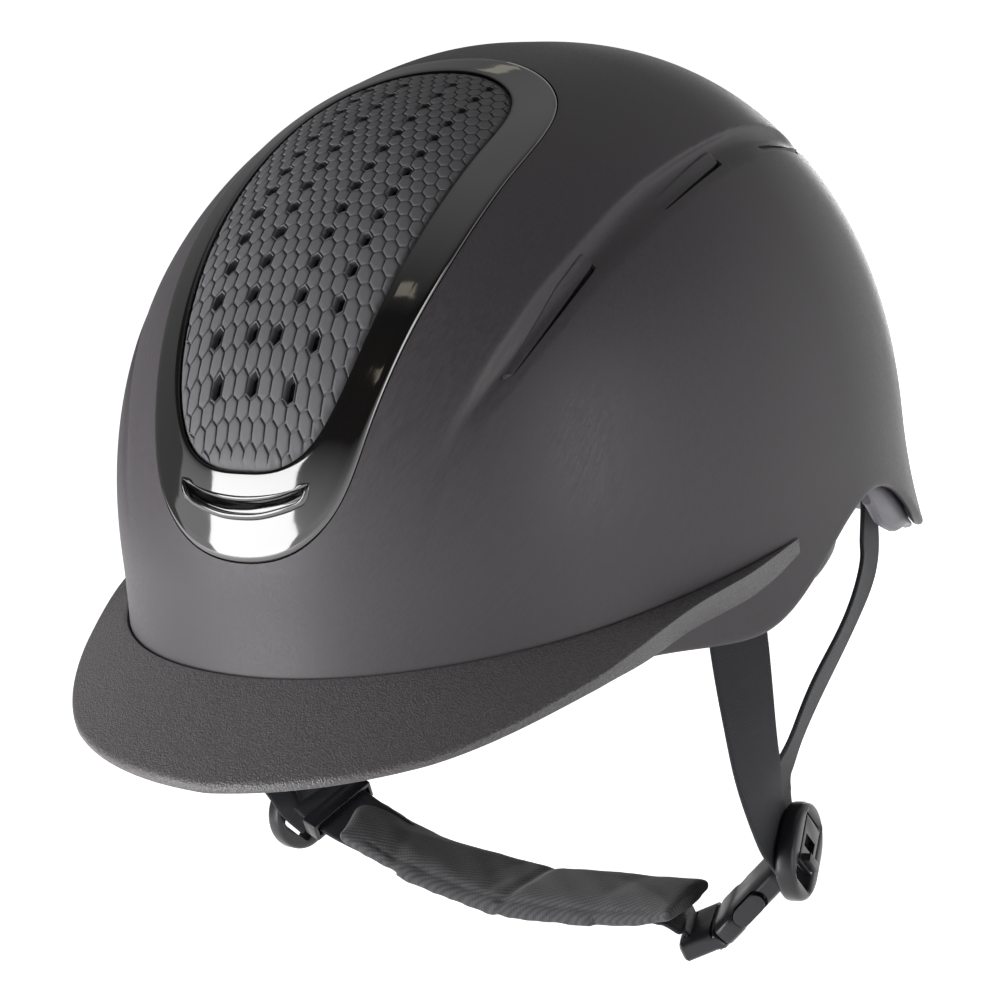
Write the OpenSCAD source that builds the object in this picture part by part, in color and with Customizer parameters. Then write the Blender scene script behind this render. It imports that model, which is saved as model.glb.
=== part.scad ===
// Vented riding helmet with a short peak, a size dial and a padded four-strap harness.
// Millimetres, +Z up. The helmet faces -Y and +X is the wearer's left.
// The origin is the centre of the head opening, at the level of the head band.

/* [Shell] */
// Width over the widest section
shell_w = 208; // [190:1:225]
// Length of the shell without the peak
shell_l = 268; // [250:1:290]
// Height of the crown above the head band
shell_h = 126.5; // [115:0.5:138]
// Distance of the widest section behind the middle
widest_back = 24.5; // [15:0.5:32]
// Wall of the shell
shell_t = 3.2; // [2.4:0.1:4]
// Depth of the rim below the head band at the brow
brow_drop = 30; // [26:0.5:34]
// Depth of the rim beside the ear
ear_drop = 35.5; // [32:0.5:40]
// Depth of the rim at the top of the rear arch
arch_drop = 11; // [8:0.5:16]
// Depth of the rim at the nape
nape_drop = 45; // [40:0.5:50]

/* [Peak] */
// Reach of the peak in front of the shell
peak_reach = 26.5; // [18:0.5:40]
// Drop of the peak's edge below its top line
peak_drop = 26; // [18:0.5:32]
// Thickness of the peak at its edge
peak_edge = 3; // [2:0.1:4]
// Turn at which each side blade ends, from the front
blade_turn = 72; // [66:1:78]

/* [Vent frame] */
// Half width of the frame's outline at its widest
frame_half_w = 48; // [42:0.5:54]
// Half width of the vent panel at its widest
panel_half_w = 36.3; // [31:0.5:39]
// Height of the frame above the shell's surface
frame_proud = 0.6; // [0.2:0.1:1.2]
// Depth of the panel below the shell's surface
panel_sunk = 0.7; // [0.3:0.1:1.5]
// Thickness of the vent panel
panel_t = 2.2; // [1.6:0.1:2.4]
// Gap round inset pieces
inset_gap = 0.3; // [0.2:0.05:0.6]
// Width across the flats of an air hole
hole_w = 3.2; // [2.4:0.1:3.8]
// Side pitch of the honeycomb cells
cell_w = 4.2; // [3.8:0.1:4.8]

/* [Liner] */
// Thickness of the impact liner
liner_t = 21; // [18:0.5:24]
// Gap between shell and liner
liner_gap = 0.5; // [0.4:0.05:0.7]
// Gap behind the comfort pads for their fastening tape
pad_gap = 0.8; // [0.7:0.1:1]
// Thickness of the comfort pads
pad_t = 6; // [4:0.5:8]
// Gap between the skirt and the shell's inner face
skirt_gap = 1.2; // [1:0.1:2]
// Thickness of the skirt
skirt_t = 3; // [2.2:0.1:3.6]

/* [Harness] */
// Width of the webbing
web_w = 20; // [18:0.5:21]
// Thickness of the webbing
web_t = 1.5; // [1.2:0.1:1.8]
// Distance of a divider inside the widest section
divider_in = 13; // [9:0.5:17]
// Depth of the dividers below the head band
divider_drop = 110; // [106:1:114]
// Width of the chin pad
chin_pad_w = 27; // [25:0.5:32]
// Thickness of the chin pad
chin_pad_t = 8; // [7:0.5:10]

/* [Buckle] */
// Width of the buckle
buckle_w = 30; // [29:0.5:34]
// Thickness of the buckle's socket
buckle_t = 8; // [7.6:0.1:10]
// Length of the socket
socket_l = 27.5; // [27:0.5:30]
// Length of the prong block
block_l = 13; // [12.5:0.5:15]
// Angle by which a release arm is pressed in
press_angle = 8; // [5:0.5:8]

/* [Size dial] */
// Radius of the dial
dial_r = 14; // [12:0.5:16]
// Thickness of the dial
dial_t = 8; // [6:0.5:10]
// Pitch radius of the pinion
pinion_r = 4; // [4:1:5]
// Travel of each head band arm
arm_travel = 8; // [5:0.5:8]
// Height of the dial's axis below the head band
dial_drop = 56; // [54:0.5:58]
// Radial clearance of a shaft in its bore
run_gap = 0.06; // [0.03:0.01:0.1]

/* [Hidden] */

// Shape of the dome: plan and arch exponents for the front, the rear and the sides
plan_front = 2.29;
plan_rear = 2.06;
arch_front = 2.12;
arch_rear = 1.95;
arch_side = 2.33;
rim_flare = 0.2;
tail_flare = 0.45;
crown_lean = 3.4;
front_reach = shell_l/2 + widest_back;
rear_reach = shell_l/2 - widest_back;
turns = 72;
rows = 15;
turn_step = 360/turns;

// Turn and depth of the rim at its turning points
rim_marks = [[0, -brow_drop], [40, -brow_drop], [61, -ear_drop], [97, -arch_drop],
    [135, 4.5 - nape_drop], [180, -nape_drop]];

function unit(v) = v/norm(v);
function ease(f) = f*f*(3 - 2*f);
function mixed(a, b, f) = a + (b - a)*f;

// Eased value between marks given as [place, value]
function along(marks, place, i = 0) =
    i >= len(marks) - 2 || place < marks[i + 1][0]
    ? mixed(marks[i][1], marks[i + 1][1],
        ease(min(1, max(0, (place - marks[i][0])/(marks[i + 1][0] - marks[i][0])))))
    : along(marks, place, i + 1);

// Point of the smooth curve through p, at place s counted in points
function curve_at(p, s) =
    let (last = len(p) - 1,
        i = min(floor(s), last - 1),
        f = s - i,
        a = p[max(i - 1, 0)],
        b = p[i],
        c = p[i + 1],
        d = p[min(i + 2, last)])
    0.5*(2*b + (c - a)*f + (2*a - 5*b + 4*c - d)*f*f + (3*b - a - 3*c + d)*f*f*f);
function curve(p, steps) = [for (k = [0:steps]) curve_at(p, k*(len(p) - 1)/steps)];

// Share of the plan's size at a height: an arch above the head band, a slight flare below it
function dome_size(c, z, h, q) =
    z >= 0
    ? pow(max(0, 1 - pow(z/h, q)), 1/q)
    : 1 + (rim_flare + tail_flare*pow(min(0, c), 2))*pow(max(z, -nape_drop)/shell_h, 2);

// Point of the dome at a turn from the front, a height and an inset below the surface
function dome(turn, z, inset) =
    let (c = cos(turn),
        s = sin(turn),
        front = c >= 0,
        n = front ? plan_front : plan_rear,
        reach = (front ? front_reach : rear_reach) - inset,
        r = pow(pow(abs(s)/(shell_w/2 - inset), n) + pow(abs(c)/reach, n), -1/n),
        q = (front ? arch_front : arch_rear)*c*c + arch_side*s*s,
        h = shell_h - inset,
        rho = dome_size(c, z, h, q))
    [r*rho*s, widest_back - r*rho*c - crown_lean*pow(z/h, 2)*sign(z), z];

// Turn measured from the front, folded onto one side
function folded(turn) = let (t = (turn + 720) % 360) t > 180 ? 360 - t : t;
function rim_z(turn) = along(rim_marks, folded(turn));

function total(values) = values*[for (v = values) 1];

// Closed skin over rings of equal length, with a pole at each end
module skin(rings, first_pole, last_pole) {
    n = len(rings[0]);
    m = len(rings);
    last = m*n + 1;
    points = concat([first_pole], [for (ring = rings) each ring], [last_pole]);
    faces = concat(
        [for (j = [0:n - 1]) [0, 1 + (j + 1) % n, 1 + j]],
        [for (i = [0:m - 2], j = [0:n - 1])
            let (a = 1 + i*n + j, d = 1 + i*n + (j + 1) % n)
            each [[a, d, d + n], [a, d + n, a + n]]],
        [for (j = [0:n - 1]) [last, last - n + j, last - n + (j + 1) % n]]);
    inside_out = total([for (f = faces) points[f[0]]*cross(points[f[1]], points[f[2]])]) > 0;
    polyhedron(points, inside_out ? [for (f = faces) [f[2], f[1], f[0]]] : faces);
}

function middle(ring) = [for (k = [0:2])
    let (values = [for (p = ring) p[k]])
    mixed(min(values), max(values), 0.5)];
module lofted(rings) {
    skin(rings, middle(rings[0]), middle(rings[len(rings) - 1]));
}

// One ring of the dome at part f of the way from the crown down to the rim
function dome_ring(inset, f, rim) = [for (j = [0:turns - 1])
    let (t = j*turn_step, low = rim(t))
    dome(t, mixed(low, shell_h - inset, cos(90*f)), inset)];

// Layer of the dome between two insets, open at the rim
module dome_layer(outer, inner, rim, inner_rows) {
    skin(concat(
            [for (i = [1:rows]) dome_ring(outer, i/rows, rim)],
            [for (i = [inner_rows:-1:1]) dome_ring(inner, i/inner_rows, rim)]),
        [0, widest_back - crown_lean, shell_h - outer],
        [0, widest_back - crown_lean, shell_h - inner]);
}

// The vent frame is laid out in a plane that leans back from the upright
front_lean = 42;
front_depth = 1.1*shell_h;
module front_prism() {
    rotate([90 - front_lean, 0, 0])
        linear_extrude(height = front_depth)
            children();
}

// Half outlines from the top of the frame round to its foot
frame_edge = [[0, 96.5], [25, 91], [42, 76.5], [48, 42], [46.5, 10], [42, -20], [36.5, -47],
    [28, -67], [15, -79], [0, -81]];
panel_edge = [[0, 87], [21, 81.7], [32.5, 71], [36.3, 50], [36, 25], [34, 0], [31, -22],
    [25.5, -42], [19, -54], [9, -58.7], [0, -59]];
function sized(half, w, full) = [for (p = half) [p[0]*w/full, p[1]]];
function both_sides(half, steps) =
    let (c = curve(half, steps))
    concat([for (i = [1:steps - 1]) c[i]], [for (i = [steps - 1:-1:1]) [-c[i][0], c[i][1]]]);
frame_line = both_sides(sized(frame_edge, frame_half_w, 48), 37);
panel_line = both_sides(sized(panel_edge, panel_half_w, 36.3), 37);

// Crescent slot in the foot of the frame
slot_half_w = 21.8;
slot_top = [[-1, -61.3], [-0.53, -65.2], [0, -66.6], [0.53, -65.2], [1, -61.3]];
slot_low = [[0.98, -62.4], [0.87, -66.2], [0.4, -69.6], [0, -70.4], [-0.4, -69.6], [-0.87, -66.2],
    [-0.98, -62.4]];
slot_line = [for (p = concat(curve(slot_top, 12), curve(slot_low, 14))) [p[0]*slot_half_w, p[1]]];

module outer_shell() {
    color("dimgray")
        difference() {
            dome_layer(0, shell_t, function (t) rim_z(t), rows);
            front_prism()
                offset(delta = inset_gap)
                    polygon(frame_line);
            for (side = [-1, 1])
                side_prism(side)
                    for (vent = side_vents)
                        vent_shape(vent, inset_gap);
        }
}

module front_frame() {
    color("black")
        intersection() {
            dome_layer(-frame_proud, shell_t, function (t) rim_z(t), rows);
            front_prism()
                difference() {
                    polygon(frame_line);
                    offset(delta = inset_gap)
                        polygon(panel_line);
                    polygon(slot_line);
                }
        }
}

// Air holes stand on every second row of cells: the row's number and its cells counted sideways
first_lift = 22.2;
row_lift = 2.172;
row_tighten = 0.011;
hole_last_row = 26;
function lift_of(row) = first_lift + row_lift*row - row_tighten*row*row;
function hole_cells(row) = row == 0 ? [-3, 0, 3] : row == 2 ? [-4, -1, 1, 4] : [-5, -2, 2, 5];
module vent_panel() {
    color("slategray")
        difference() {
            intersection() {
                dome_layer(panel_sunk, panel_sunk + panel_t, function (t) rim_z(t), rows);
                front_prism()
                    polygon(panel_line);
            }
            for (row = [0:2:hole_last_row], cell = hole_cells(row))
                panel_hole(cell*cell_w, lift_of(row));
        }
}

// Six-sided hole square to the dome on the front's middle line
module panel_hole(x, lift) {
    translate([x, widest_back, 0])
        rotate([90 - lift, 0, 0])
            translate([0, 0, 90])
                rotate(30)
                    cylinder(d = hole_w/cos(30), h = 80, $fn = 6);
}

// Side vents: [start, end] of the middle line in the sloping plane, and the height
side_vents = [[[-87.5, -5.2], [-53.5, 4.6], 4.6], [[-18.5, 8.6], [13, 13.1], 4.4],
    [[40, 11.4], [61.5, 9.4], 3]];
module side_prism(side) {
    mirror([side < 0 ? 1 : 0, 0, 0])
        rotate([0, 45, 0])
            rotate(90)
                linear_extrude(height = 140)
                    children();
}
module vent_shape(vent, grow) {
    r = vent[2]/2 + grow;
    run = vent[1] - vent[0];
    heading = atan2(run[1], run[0]);
    polygon(concat(
        [for (a = [-90:15:90]) vent[1] + r*[cos(heading + a), sin(heading + a)]],
        [for (a = [90:15:270]) vent[0] + r*[cos(heading + a), sin(heading + a)]]));
}
module side_vents_node(side) {
    color("black")
        intersection() {
            dome_layer(-0.3, shell_t, function (t) rim_z(t), rows);
            side_prism(side)
                for (vent = side_vents)
                    difference() {
                        vent_shape(vent, 0);
                        translate([0, -vent[2]/5])
                            vent_shape([vent[0], vent[1], vent[2]/4], 0);
                    }
        }
}
module side_vents_left() {
    side_vents_node(1);
}
module side_vents_right() {
    side_vents_node(-1);
}

// Peak: shares of the reach and of the drop at marks along the turn
ridge_reach = [[0, 1], [20, 0.81], [36, 0.5], [48, 0.31], [60, 0.16], [72, 0.03]];
ridge_fall = [[0, 0.86], [20, 0.73], [36, 0.37], [48, 0.07], [60, 0.035], [72, 0.02]];
edge_reach = [[0, 0.98], [20, 0.79], [36, 0.46], [42, 0.25], [48, 0.055], [60, 0.02], [72, 0.02]];
edge_depth = [[0, 1], [20, 0.85], [36, 1.25], [42, 2.3], [48, 3], [60, 2.85], [66, 2.35], [72, 1.5]];
peak_stations = 36;
peak_level = -21;
blade_rise = 9;
peak_root_t = 8.8;
peak_seat = 0.25;
function peak_top(t) = peak_level + blade_rise*pow(t/blade_turn, 1.3);
function peak_ring(turn) =
    let (t = folded(turn),
        m = t*72/blade_turn,
        top = peak_top(t),
        reach_r = max(2*peak_seat, peak_reach*smooth_at(ridge_reach, m)),
        reach_e = max(1.4*peak_seat, peak_reach*smooth_at(edge_reach, m)),
        z_r = top - peak_drop*smooth_at(ridge_fall, m),
        z_e = z_r - peak_edge*smooth_at(edge_depth, m),
        z_u = max(top - peak_root_t, z_e + 0.4),
        bulge = 0.03*peak_reach*cos(90*t/blade_turn))
    [dome(turn, top, -peak_seat), dome(turn, mixed(top, z_r, 0.5) + bulge, -reach_r/2),
        dome(turn, z_r, -reach_r), dome(turn, z_e, -reach_e), dome(turn, z_u, -peak_seat)];
function smooth_at(marks, m) =
    let (i = max([for (k = [0:len(marks) - 2]) marks[k][0] <= m ? k : 0]),
        f = (m - marks[i][0])/(marks[i + 1][0] - marks[i][0]))
    curve_at([for (k = marks) k[1]], i + min(f, 1));

module peak() {
    color("black")
        lofted([for (k = [0:peak_stations]) peak_ring(mixed(-blade_turn, blade_turn, k/peak_stations))]);
}

// The liner stops above the rim, and above the skirt at the rear
trim_h = 4;
function liner_rim(turn) = folded(turn) < 97 ? rim_z(turn) + trim_h : trim_h - arch_drop;
liner_out = shell_t + liner_gap;
liner_in = liner_out + liner_t;

module impact_liner() {
    color("darkslategray")
        difference() {
            dome_layer(liner_out, liner_in, function (t) liner_rim(t), 8);
            for (side = [-1, 1])
                strap_pockets(side);
            for (x = [-16, 0, 16])
                translate([x, 0, 0])
                    front_prism()
                        square([9, 60], center = true);
        }
}

// Webbing ends: where they are fixed, and how far each is turned off the side
front_anchor = dome(59.7, -16, 7.6);
rear_anchor = dome(114.5, -2, 11.6);
front_anchor_yaw = -15;
rear_anchor_yaw = 27;
pocket_t = 8;
pocket_drop = 34;
module at_anchors() {
    translate(front_anchor)
        rotate(front_anchor_yaw)
            children();
    translate(rear_anchor)
        rotate(rear_anchor_yaw)
            children();
}
module strap_pockets(side) {
    mirror([side < 0 ? 1 : 0, 0, 0])
        at_anchors()
            translate([0.5 - pocket_t/2, -web_w/2 - 2.5, 8 - pocket_drop])
                cube([pocket_t, web_w + 5, pocket_drop]);
}

// Light skirt that closes the rear of the liner down to just below the rim
skirt_start = 99;
skirt_stations = 28;
skirt_low = [[skirt_start, -16.5], [103, -24.5], [109, -30], [120, -33.5], [134, 3.5 - nape_drop],
    [180, -nape_drop - 2]];
skirt_kick = 0.8;
module nape_skirt() {
    out = shell_t + skirt_gap;
    function sides(t, top, low, d) =
        [dome(t, top, d), dome(t, mixed(top, low, 0.45), d), dome(t, low + 5, d)];
    function flipped(list) = [list[2], list[1], list[0]];
    color("lightgray")
        lofted([for (k = [0:skirt_stations])
            let (t = mixed(skirt_start, 360 - skirt_start, k/skirt_stations),
                top = trim_h - arch_drop - 0.3,
                low = smooth_at(skirt_low, folded(t)),
                kick = out - skirt_kick)
            concat(sides(t, top, low, out),
                [dome(t, low + 1, kick), dome(t, low, kick + 0.8), dome(t, low, kick + skirt_t - 1)],
                flipped(sides(t, top, low, out + skirt_t)))]);
}

// Soft trim under the liner, from arch to arch round the front
trim_end = 95;
trim_stations = 48;
trim_gap = 0.6;
trim_w = 9.7;
module rim_trim() {
    color("black")
        difference() {
            lofted([for (k = [0:trim_stations])
                let (t = mixed(-trim_end, trim_end, k/trim_stations),
                    z = rim_z(t),
                    top = z + trim_h - trim_gap,
                    d = liner_out + 0.3)
                [dome(t, top, d), dome(t, z + 1, d), dome(t, z + 0.4, d + 1.7),
                    dome(t, z + 1, d + trim_w - 1), dome(t, top, d + trim_w)]]);
            for (side = [-1, 1])
                strap_pockets(side);
        }
}

// Cushioned band on the inside of the liner between two turns and two heights
function cushion_ring(turn, low, high, t, end_share) =
    let (d = liner_in + pad_gap,
        g = t*end_share,
        mid = (low + high)/2,
        half = (high - low)/2*(0.8 + 0.2*end_share))
    [dome(turn, mid + half, d), dome(turn, mid - half, d), dome(turn, mid - half*0.86, d + g*0.75),
        dome(turn, mid, d + g), dome(turn, mid + half*0.86, d + g*0.75)];
module cushion_band(turn_a, turn_b, low, high, t, steps) {
    lofted([for (k = [0:steps])
        let (f = k/steps, s = 0.25 + 0.75*pow(sin(180*f), 0.35))
        cushion_ring(mixed(turn_a, turn_b, f), low, high, t, s)]);
}
module brow_pad() {
    color("dimgray")
        cushion_band(-64, 64, 6 - brow_drop, 6, pad_t, 28);
}
side_pad_low = 4;
side_pad_top = 34;
module side_pad_left() {
    color("dimgray")
        cushion_band(68, 92, side_pad_low, side_pad_top, pad_t, 8);
}
module side_pad_right() {
    color("dimgray")
        cushion_band(-92, -68, side_pad_low, side_pad_top, pad_t, 8);
}
crown_pad_depth = 25;
crown_pad_sides = 48;
module crown_pad() {
    d = liner_in + pad_gap;
    steps = 7;
    top = shell_h - d;
    function ring(inset, f, rise) = [for (j = [0:crown_pad_sides - 1])
        let (low = top - crown_pad_depth + rise)
        dome(j*360/crown_pad_sides, mixed(low, shell_h - inset, cos(90*f)), inset)];
    color("dimgray")
        skin(concat(
                [for (i = [1:steps]) ring(d, i/steps, 0)],
                [for (i = [steps:-1:1]) ring(d + pad_t, i/steps, 1.5)]),
            [0, widest_back - crown_lean, top],
            [0, widest_back - crown_lean, top - pad_t]);
}

// Webbing ribbon along stations [x, y, z, roll], rolled from the reference axis
function ribbon_ring(at, d, roll, w, t, ref) =
    let (s = unit(ref - d*(ref*d)),
        v = cross(d, s),
        a = (cos(roll)*s + sin(roll)*v)*w/2,
        b = (cos(roll)*v - sin(roll)*s)*t/2)
    [at + a + b, at - a + b, at - a - b, at + a - b];
module ribbon(stations, w, t, ref, steps) {
    places = curve(stations, steps);
    xyz = [for (p = places) [p[0], p[1], p[2]]];
    lofted([for (k = [0:steps])
        let (d = unit(xyz[min(k + 1, steps)] - xyz[max(k - 1, 0)]))
        ribbon_ring(xyz[k], d, places[k][3], w, t, ref)]);
}

divider_w = web_w + 3.6;
divider_l = web_w + 10;
divider_t = 6;
window_w = 12.4;
window_h = web_w + 0.8;
divider_side = shell_w/2 - divider_in;
divider_at = [divider_side, -6.5, -divider_drop];
divider_yaw = 10;
divider_lean = 45;
module at_divider(side) {
    mirror([side < 0 ? 1 : 0, 0, 0])
        translate(divider_at)
            rotate([0, 0, divider_yaw])
                rotate([-divider_lean, 0, 0])
                    children();
}

// Straps run down to the divider and end behind it, in layers: front strap, then rear strap
layer_gap = 0.3;
layer_front = -divider_t/2 - layer_gap - web_t/2;
layer_rear = layer_front - web_t - layer_gap;
function divider_point(x, y, z) =
    let (cy = cos(divider_yaw), sy = sin(divider_yaw), cl = cos(divider_lean), sl = sin(divider_lean),
        h = cl*y + sl*z)
    divider_at + [cy*x - sy*h, sy*x + cy*h, cl*z - sl*y];

// Stations hung about the straight line from an anchor to the divider: [aside, back, height, roll]
function strung(anchor, stations) = [for (p = stations)
    let (f = (anchor[2] - p[2])/(anchor[2] - divider_at[2]), at = mixed(anchor, divider_at, f))
    [at[0] + p[0], at[1] + p[1], p[2], p[3]]];
front_strap_path = concat(
    [concat(front_anchor + [0, 0, 6], -75)],
    strung(front_anchor, [[0.2, -3.5, -27, -67], [1, -6.7, -39, -65], [1, -9.1, -52, -69.5],
        [1.2, -11, -62, -74.5], [0.7, -12, -74.3, -79], [0, -11.1, -85.4, -84]]),
    [concat(divider_point(layer_front - 0.2, -14, 1.5), -93),
        concat(divider_point(layer_front, -8.5, 0.4), -97),
        concat(divider_point(layer_front, 1.5, 0), -97)]);
rear_strap_path = concat(
    [concat(rear_anchor + [0, 0, 6], 63)],
    strung(rear_anchor, [[-0.6, 7.1, -13, 65], [-0.8, 14.3, -26, 72], [-0.6, 18.5, -36.6, 78],
        [-0.1, 17, -42, 73], [0.6, 13.5, -47.2, 68], [1.3, 5.5, -55.8, 62.5], [2, -4.3, -61.9, 63.5],
        [2.2, -12.1, -68, 65.5], [2, -16.4, -74, 64], [0.8, -16.4, -80, 66], [-2.1, -16.3, -85, 75],
        [-4, -14.4, -91, 82]]),
    [concat(divider_point(layer_rear - 0.2, -1, 5), 81)]);
module front_strap_left() {
    color("black")
        ribbon(front_strap_path, web_w, web_t, [1, 0, 0], 36);
}
module front_strap_right() {
    mirror([1, 0, 0])
        front_strap_left();
}
module rear_strap_left() {
    color("black")
        ribbon(rear_strap_path, web_w, web_t, [1, 0, 0], 52);
}
module rear_strap_right() {
    mirror([1, 0, 0])
        rear_strap_left();
}

// Plates that hold the webbing ends on their outer side
plate_t = 1.4;
module strap_anchors() {
    color("black")
        for (side = [0, 1])
            mirror([side, 0, 0])
                at_anchors()
                    translate([web_t/2 + 0.7, -web_w/2 + 2, -4]) {
                        cube([plate_t, web_w - 4, 9]);
                        translate([0, web_w/2 - 2, 4.5])
                            rotate([0, 90, 0])
                                cylinder(r = 3, h = plate_t + 0.8, $fn = 32);
                    }
}

// Divider: an oval ring with a window for the webbing and a hinged locking lever
lever_pin_r = 1.2;
lever_pin = [1.2, 0, 8.6];
lever_pin_l = window_w + 7;
module oval(w, l) {
    for (z = [-1, 1])
        translate([0, z*(l - w)/2])
            circle(d = w, $fn = 48);
    square([w, l - w], center = true);
}
module divider_ring() {
    difference() {
        rotate([90, 0, 90])
            translate([0, 0, -divider_t/2])
                linear_extrude(height = divider_t)
                    oval(divider_w, divider_l);
        cube([divider_t + 1, window_w, window_h], center = true);
        translate(lever_pin)
            rotate([90, 0, 0])
                cylinder(r = lever_pin_r + run_gap, h = lever_pin_l + 0.4, center = true, $fn = 32);
    }
}
module divider_left() {
    color("black")
        at_divider(1)
            divider_ring();
}
module divider_right() {
    color("black")
        at_divider(-1)
            divider_ring();
}
lever_w = window_w - 0.8;
lever_l = 13.6;
module lever() {
    translate(lever_pin) {
        rotate([90, 0, 0])
            cylinder(r = lever_pin_r, h = lever_pin_l, center = true, $fn = 32);
        difference() {
            union() {
                translate([-0.6, -lever_w/2, -lever_l])
                    cube([2.2, lever_w, lever_l]);
                translate([1.2, -4, 0.2 - lever_l])
                    cube([3, 8, 2.4]);
                rotate([90, 0, 0])
                    cylinder(r = lever_pin_r + 0.45, h = lever_w, center = true, $fn = 32);
            }
            translate([-2, -4, -8.5])
                cube([5, 8, 4]);
        }
    }
}
module divider_lever_left() {
    color("black")
        at_divider(1)
            lever();
}
module divider_lever_right() {
    color("black")
        at_divider(-1)
            lever();
}

// Buckle: its axis runs from the mouth up to the left divider
buckle_mouth = divider_at + [-29.4, 1.7, -26];
buckle_yaw = 24;
buckle_tilt = 47;
module at_buckle() {
    translate(buckle_mouth)
        rotate([0, buckle_tilt, buckle_yaw])
            children();
}
module rounded_bar(w, t, l, r) {
    linear_extrude(height = l)
        union() {
            square([t, w - 2*r], center = true);
            square([t - 2*r, w], center = true);
            for (x = [-1, 1], y = [-1, 1])
                translate([x*(t/2 - r), y*(w/2 - r)])
                    circle(r = r, $fn = 24);
        }
}
mouth_gap = 0.2;
button_at = 12.9;
button_l = 11.4;
button_t = 5.6;
button_proud = 0.4;
cavity_w = buckle_w - 4;
cavity_t = buckle_t - 3;
collar_l = 7.6;
window_in = 10;
strap_seat = 5;
arm_root = 9;
button_swing = (buckle_w/2 + button_proud - arm_root)*sin(press_angle) - 0.2;
module buckle_socket() {
    color("black")
        at_buckle()
            difference() {
                union() {
                    translate([0, 0, mouth_gap])
                        rounded_bar(buckle_w, buckle_t, collar_l, 3);
                    translate([0, 0, collar_l - 1])
                        rounded_bar(buckle_w - 1.5, buckle_t - 0.4, socket_l - collar_l + 1, 3);
                }
                translate([0, 0, (socket_l - 7)/2 - 0.5])
                    cube([cavity_t, cavity_w, socket_l - 7], center = true);
                for (y = [-1, 1])
                    translate([0, y*(buckle_w/2 + 1), button_at + button_swing/2])
                        rotate([90, 0, 0])
                            linear_extrude(height = 2*(buckle_w/2 + 1 - window_in), center = true)
                                oval(button_t + 0.8, button_l + 0.8 + button_swing);
                translate([0, 0, socket_l])
                    cube([web_t + 0.8, web_w + 0.8, 2*strap_seat], center = true);
            }
}
arm_pin_r = 1.4;
arm_pin_z = -3;
arm_pin_l = buckle_t - 2;
arm_l = 22;
arm_t = 2.4;
guide_l = 20;
guide_w = 2*(arm_root - arm_t/2 - arm_l*sin(press_angle) - 0.4);
block_bend = 23.5;
tongue_gap = 1.4;
module buckle_block() {
    color("black")
        at_buckle()
            difference() {
                union() {
                    rotate([0, block_bend, 0])
                        translate([0, 0, -block_l])
                            rounded_bar(buckle_w - 1, buckle_t - 0.6, block_l - 2, 3);
                    translate([0, 0, -4])
                        rounded_bar(buckle_w - 1, buckle_t - 0.6, 4 - mouth_gap, 3);
                    translate([-(cavity_t - tongue_gap)/2, -guide_w/2, -1])
                        cube([cavity_t - tongue_gap, guide_w, guide_l]);
                }
                for (y = [-1, 1])
                    translate([0, y*arm_root, 0]) {
                        translate([0, 0, arm_pin_z/2 + 0.7])
                            cube([cavity_t - 0.6, 7.4, -arm_pin_z + 4.4], center = true);
                        translate([0, 0, arm_pin_z])
                            rotate([0, 90, 0])
                                cylinder(r = arm_pin_r + run_gap, h = arm_pin_l + 0.4, center = true,
                                    $fn = 32);
                    }
                rotate([0, block_bend, 0])
                    translate([0, 0, -block_l + 3])
                        cube([buckle_t + 3, web_w + 0.8, 2.4], center = true);
            }
}
module buckle_arm(side) {
    color("black")
        at_buckle()
            mirror([0, side < 0 ? 1 : 0, 0])
                translate([0, arm_root, arm_pin_z]) {
                    rotate([0, 90, 0])
                        cylinder(r = arm_pin_r, h = arm_pin_l, center = true, $fn = 32);
                    translate([-(cavity_t - tongue_gap)/2, -arm_t/2, 0])
                        cube([cavity_t - tongue_gap, arm_t, arm_l]);
                    translate([0, 0, button_at - arm_pin_z])
                        rotate([-90, 0, 0]) {
                            linear_extrude(height = buckle_w/2 - arm_root - 1)
                                oval(cavity_t - tongue_gap, button_l - 2);
                            translate([0, 0, buckle_w/2 - arm_root - 1.8])
                                linear_extrude(height = 1.8 + button_proud)
                                    oval(button_t, button_l);
                        }
                }
}
module buckle_arm_front() {
    buckle_arm(-1);
}
module buckle_arm_rear() {
    buckle_arm(1);
}

// Short webbing from the left divider into the socket's bar
socket_across = [-sin(buckle_yaw), cos(buckle_yaw), 0];
function buckle_point(z) = buckle_mouth
    + z*[sin(buckle_tilt)*cos(buckle_yaw), sin(buckle_tilt)*sin(buckle_yaw), cos(buckle_tilt)];
socket_strap_path = [for (p = [[0.5 - strap_seat, 0], [0, 0], [1.6, 3], [3, 8]])
    concat(buckle_point(socket_l + p[0]), p[1])];
module socket_strap() {
    color("black")
        ribbon(socket_strap_path, web_w, web_t, socket_across, 8);
}

// Chin strap from the prong block round under the chin to the right divider
block_slot = 3;
function block_point(out) =
    let (t = buckle_tilt + block_bend, l = block_l - block_slot)
    buckle_mouth - l*[sin(t)*cos(buckle_yaw), sin(t)*sin(buckle_yaw), cos(t)]
        - out*[cos(t)*cos(buckle_yaw), cos(t)*sin(buckle_yaw), -sin(t)];

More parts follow.
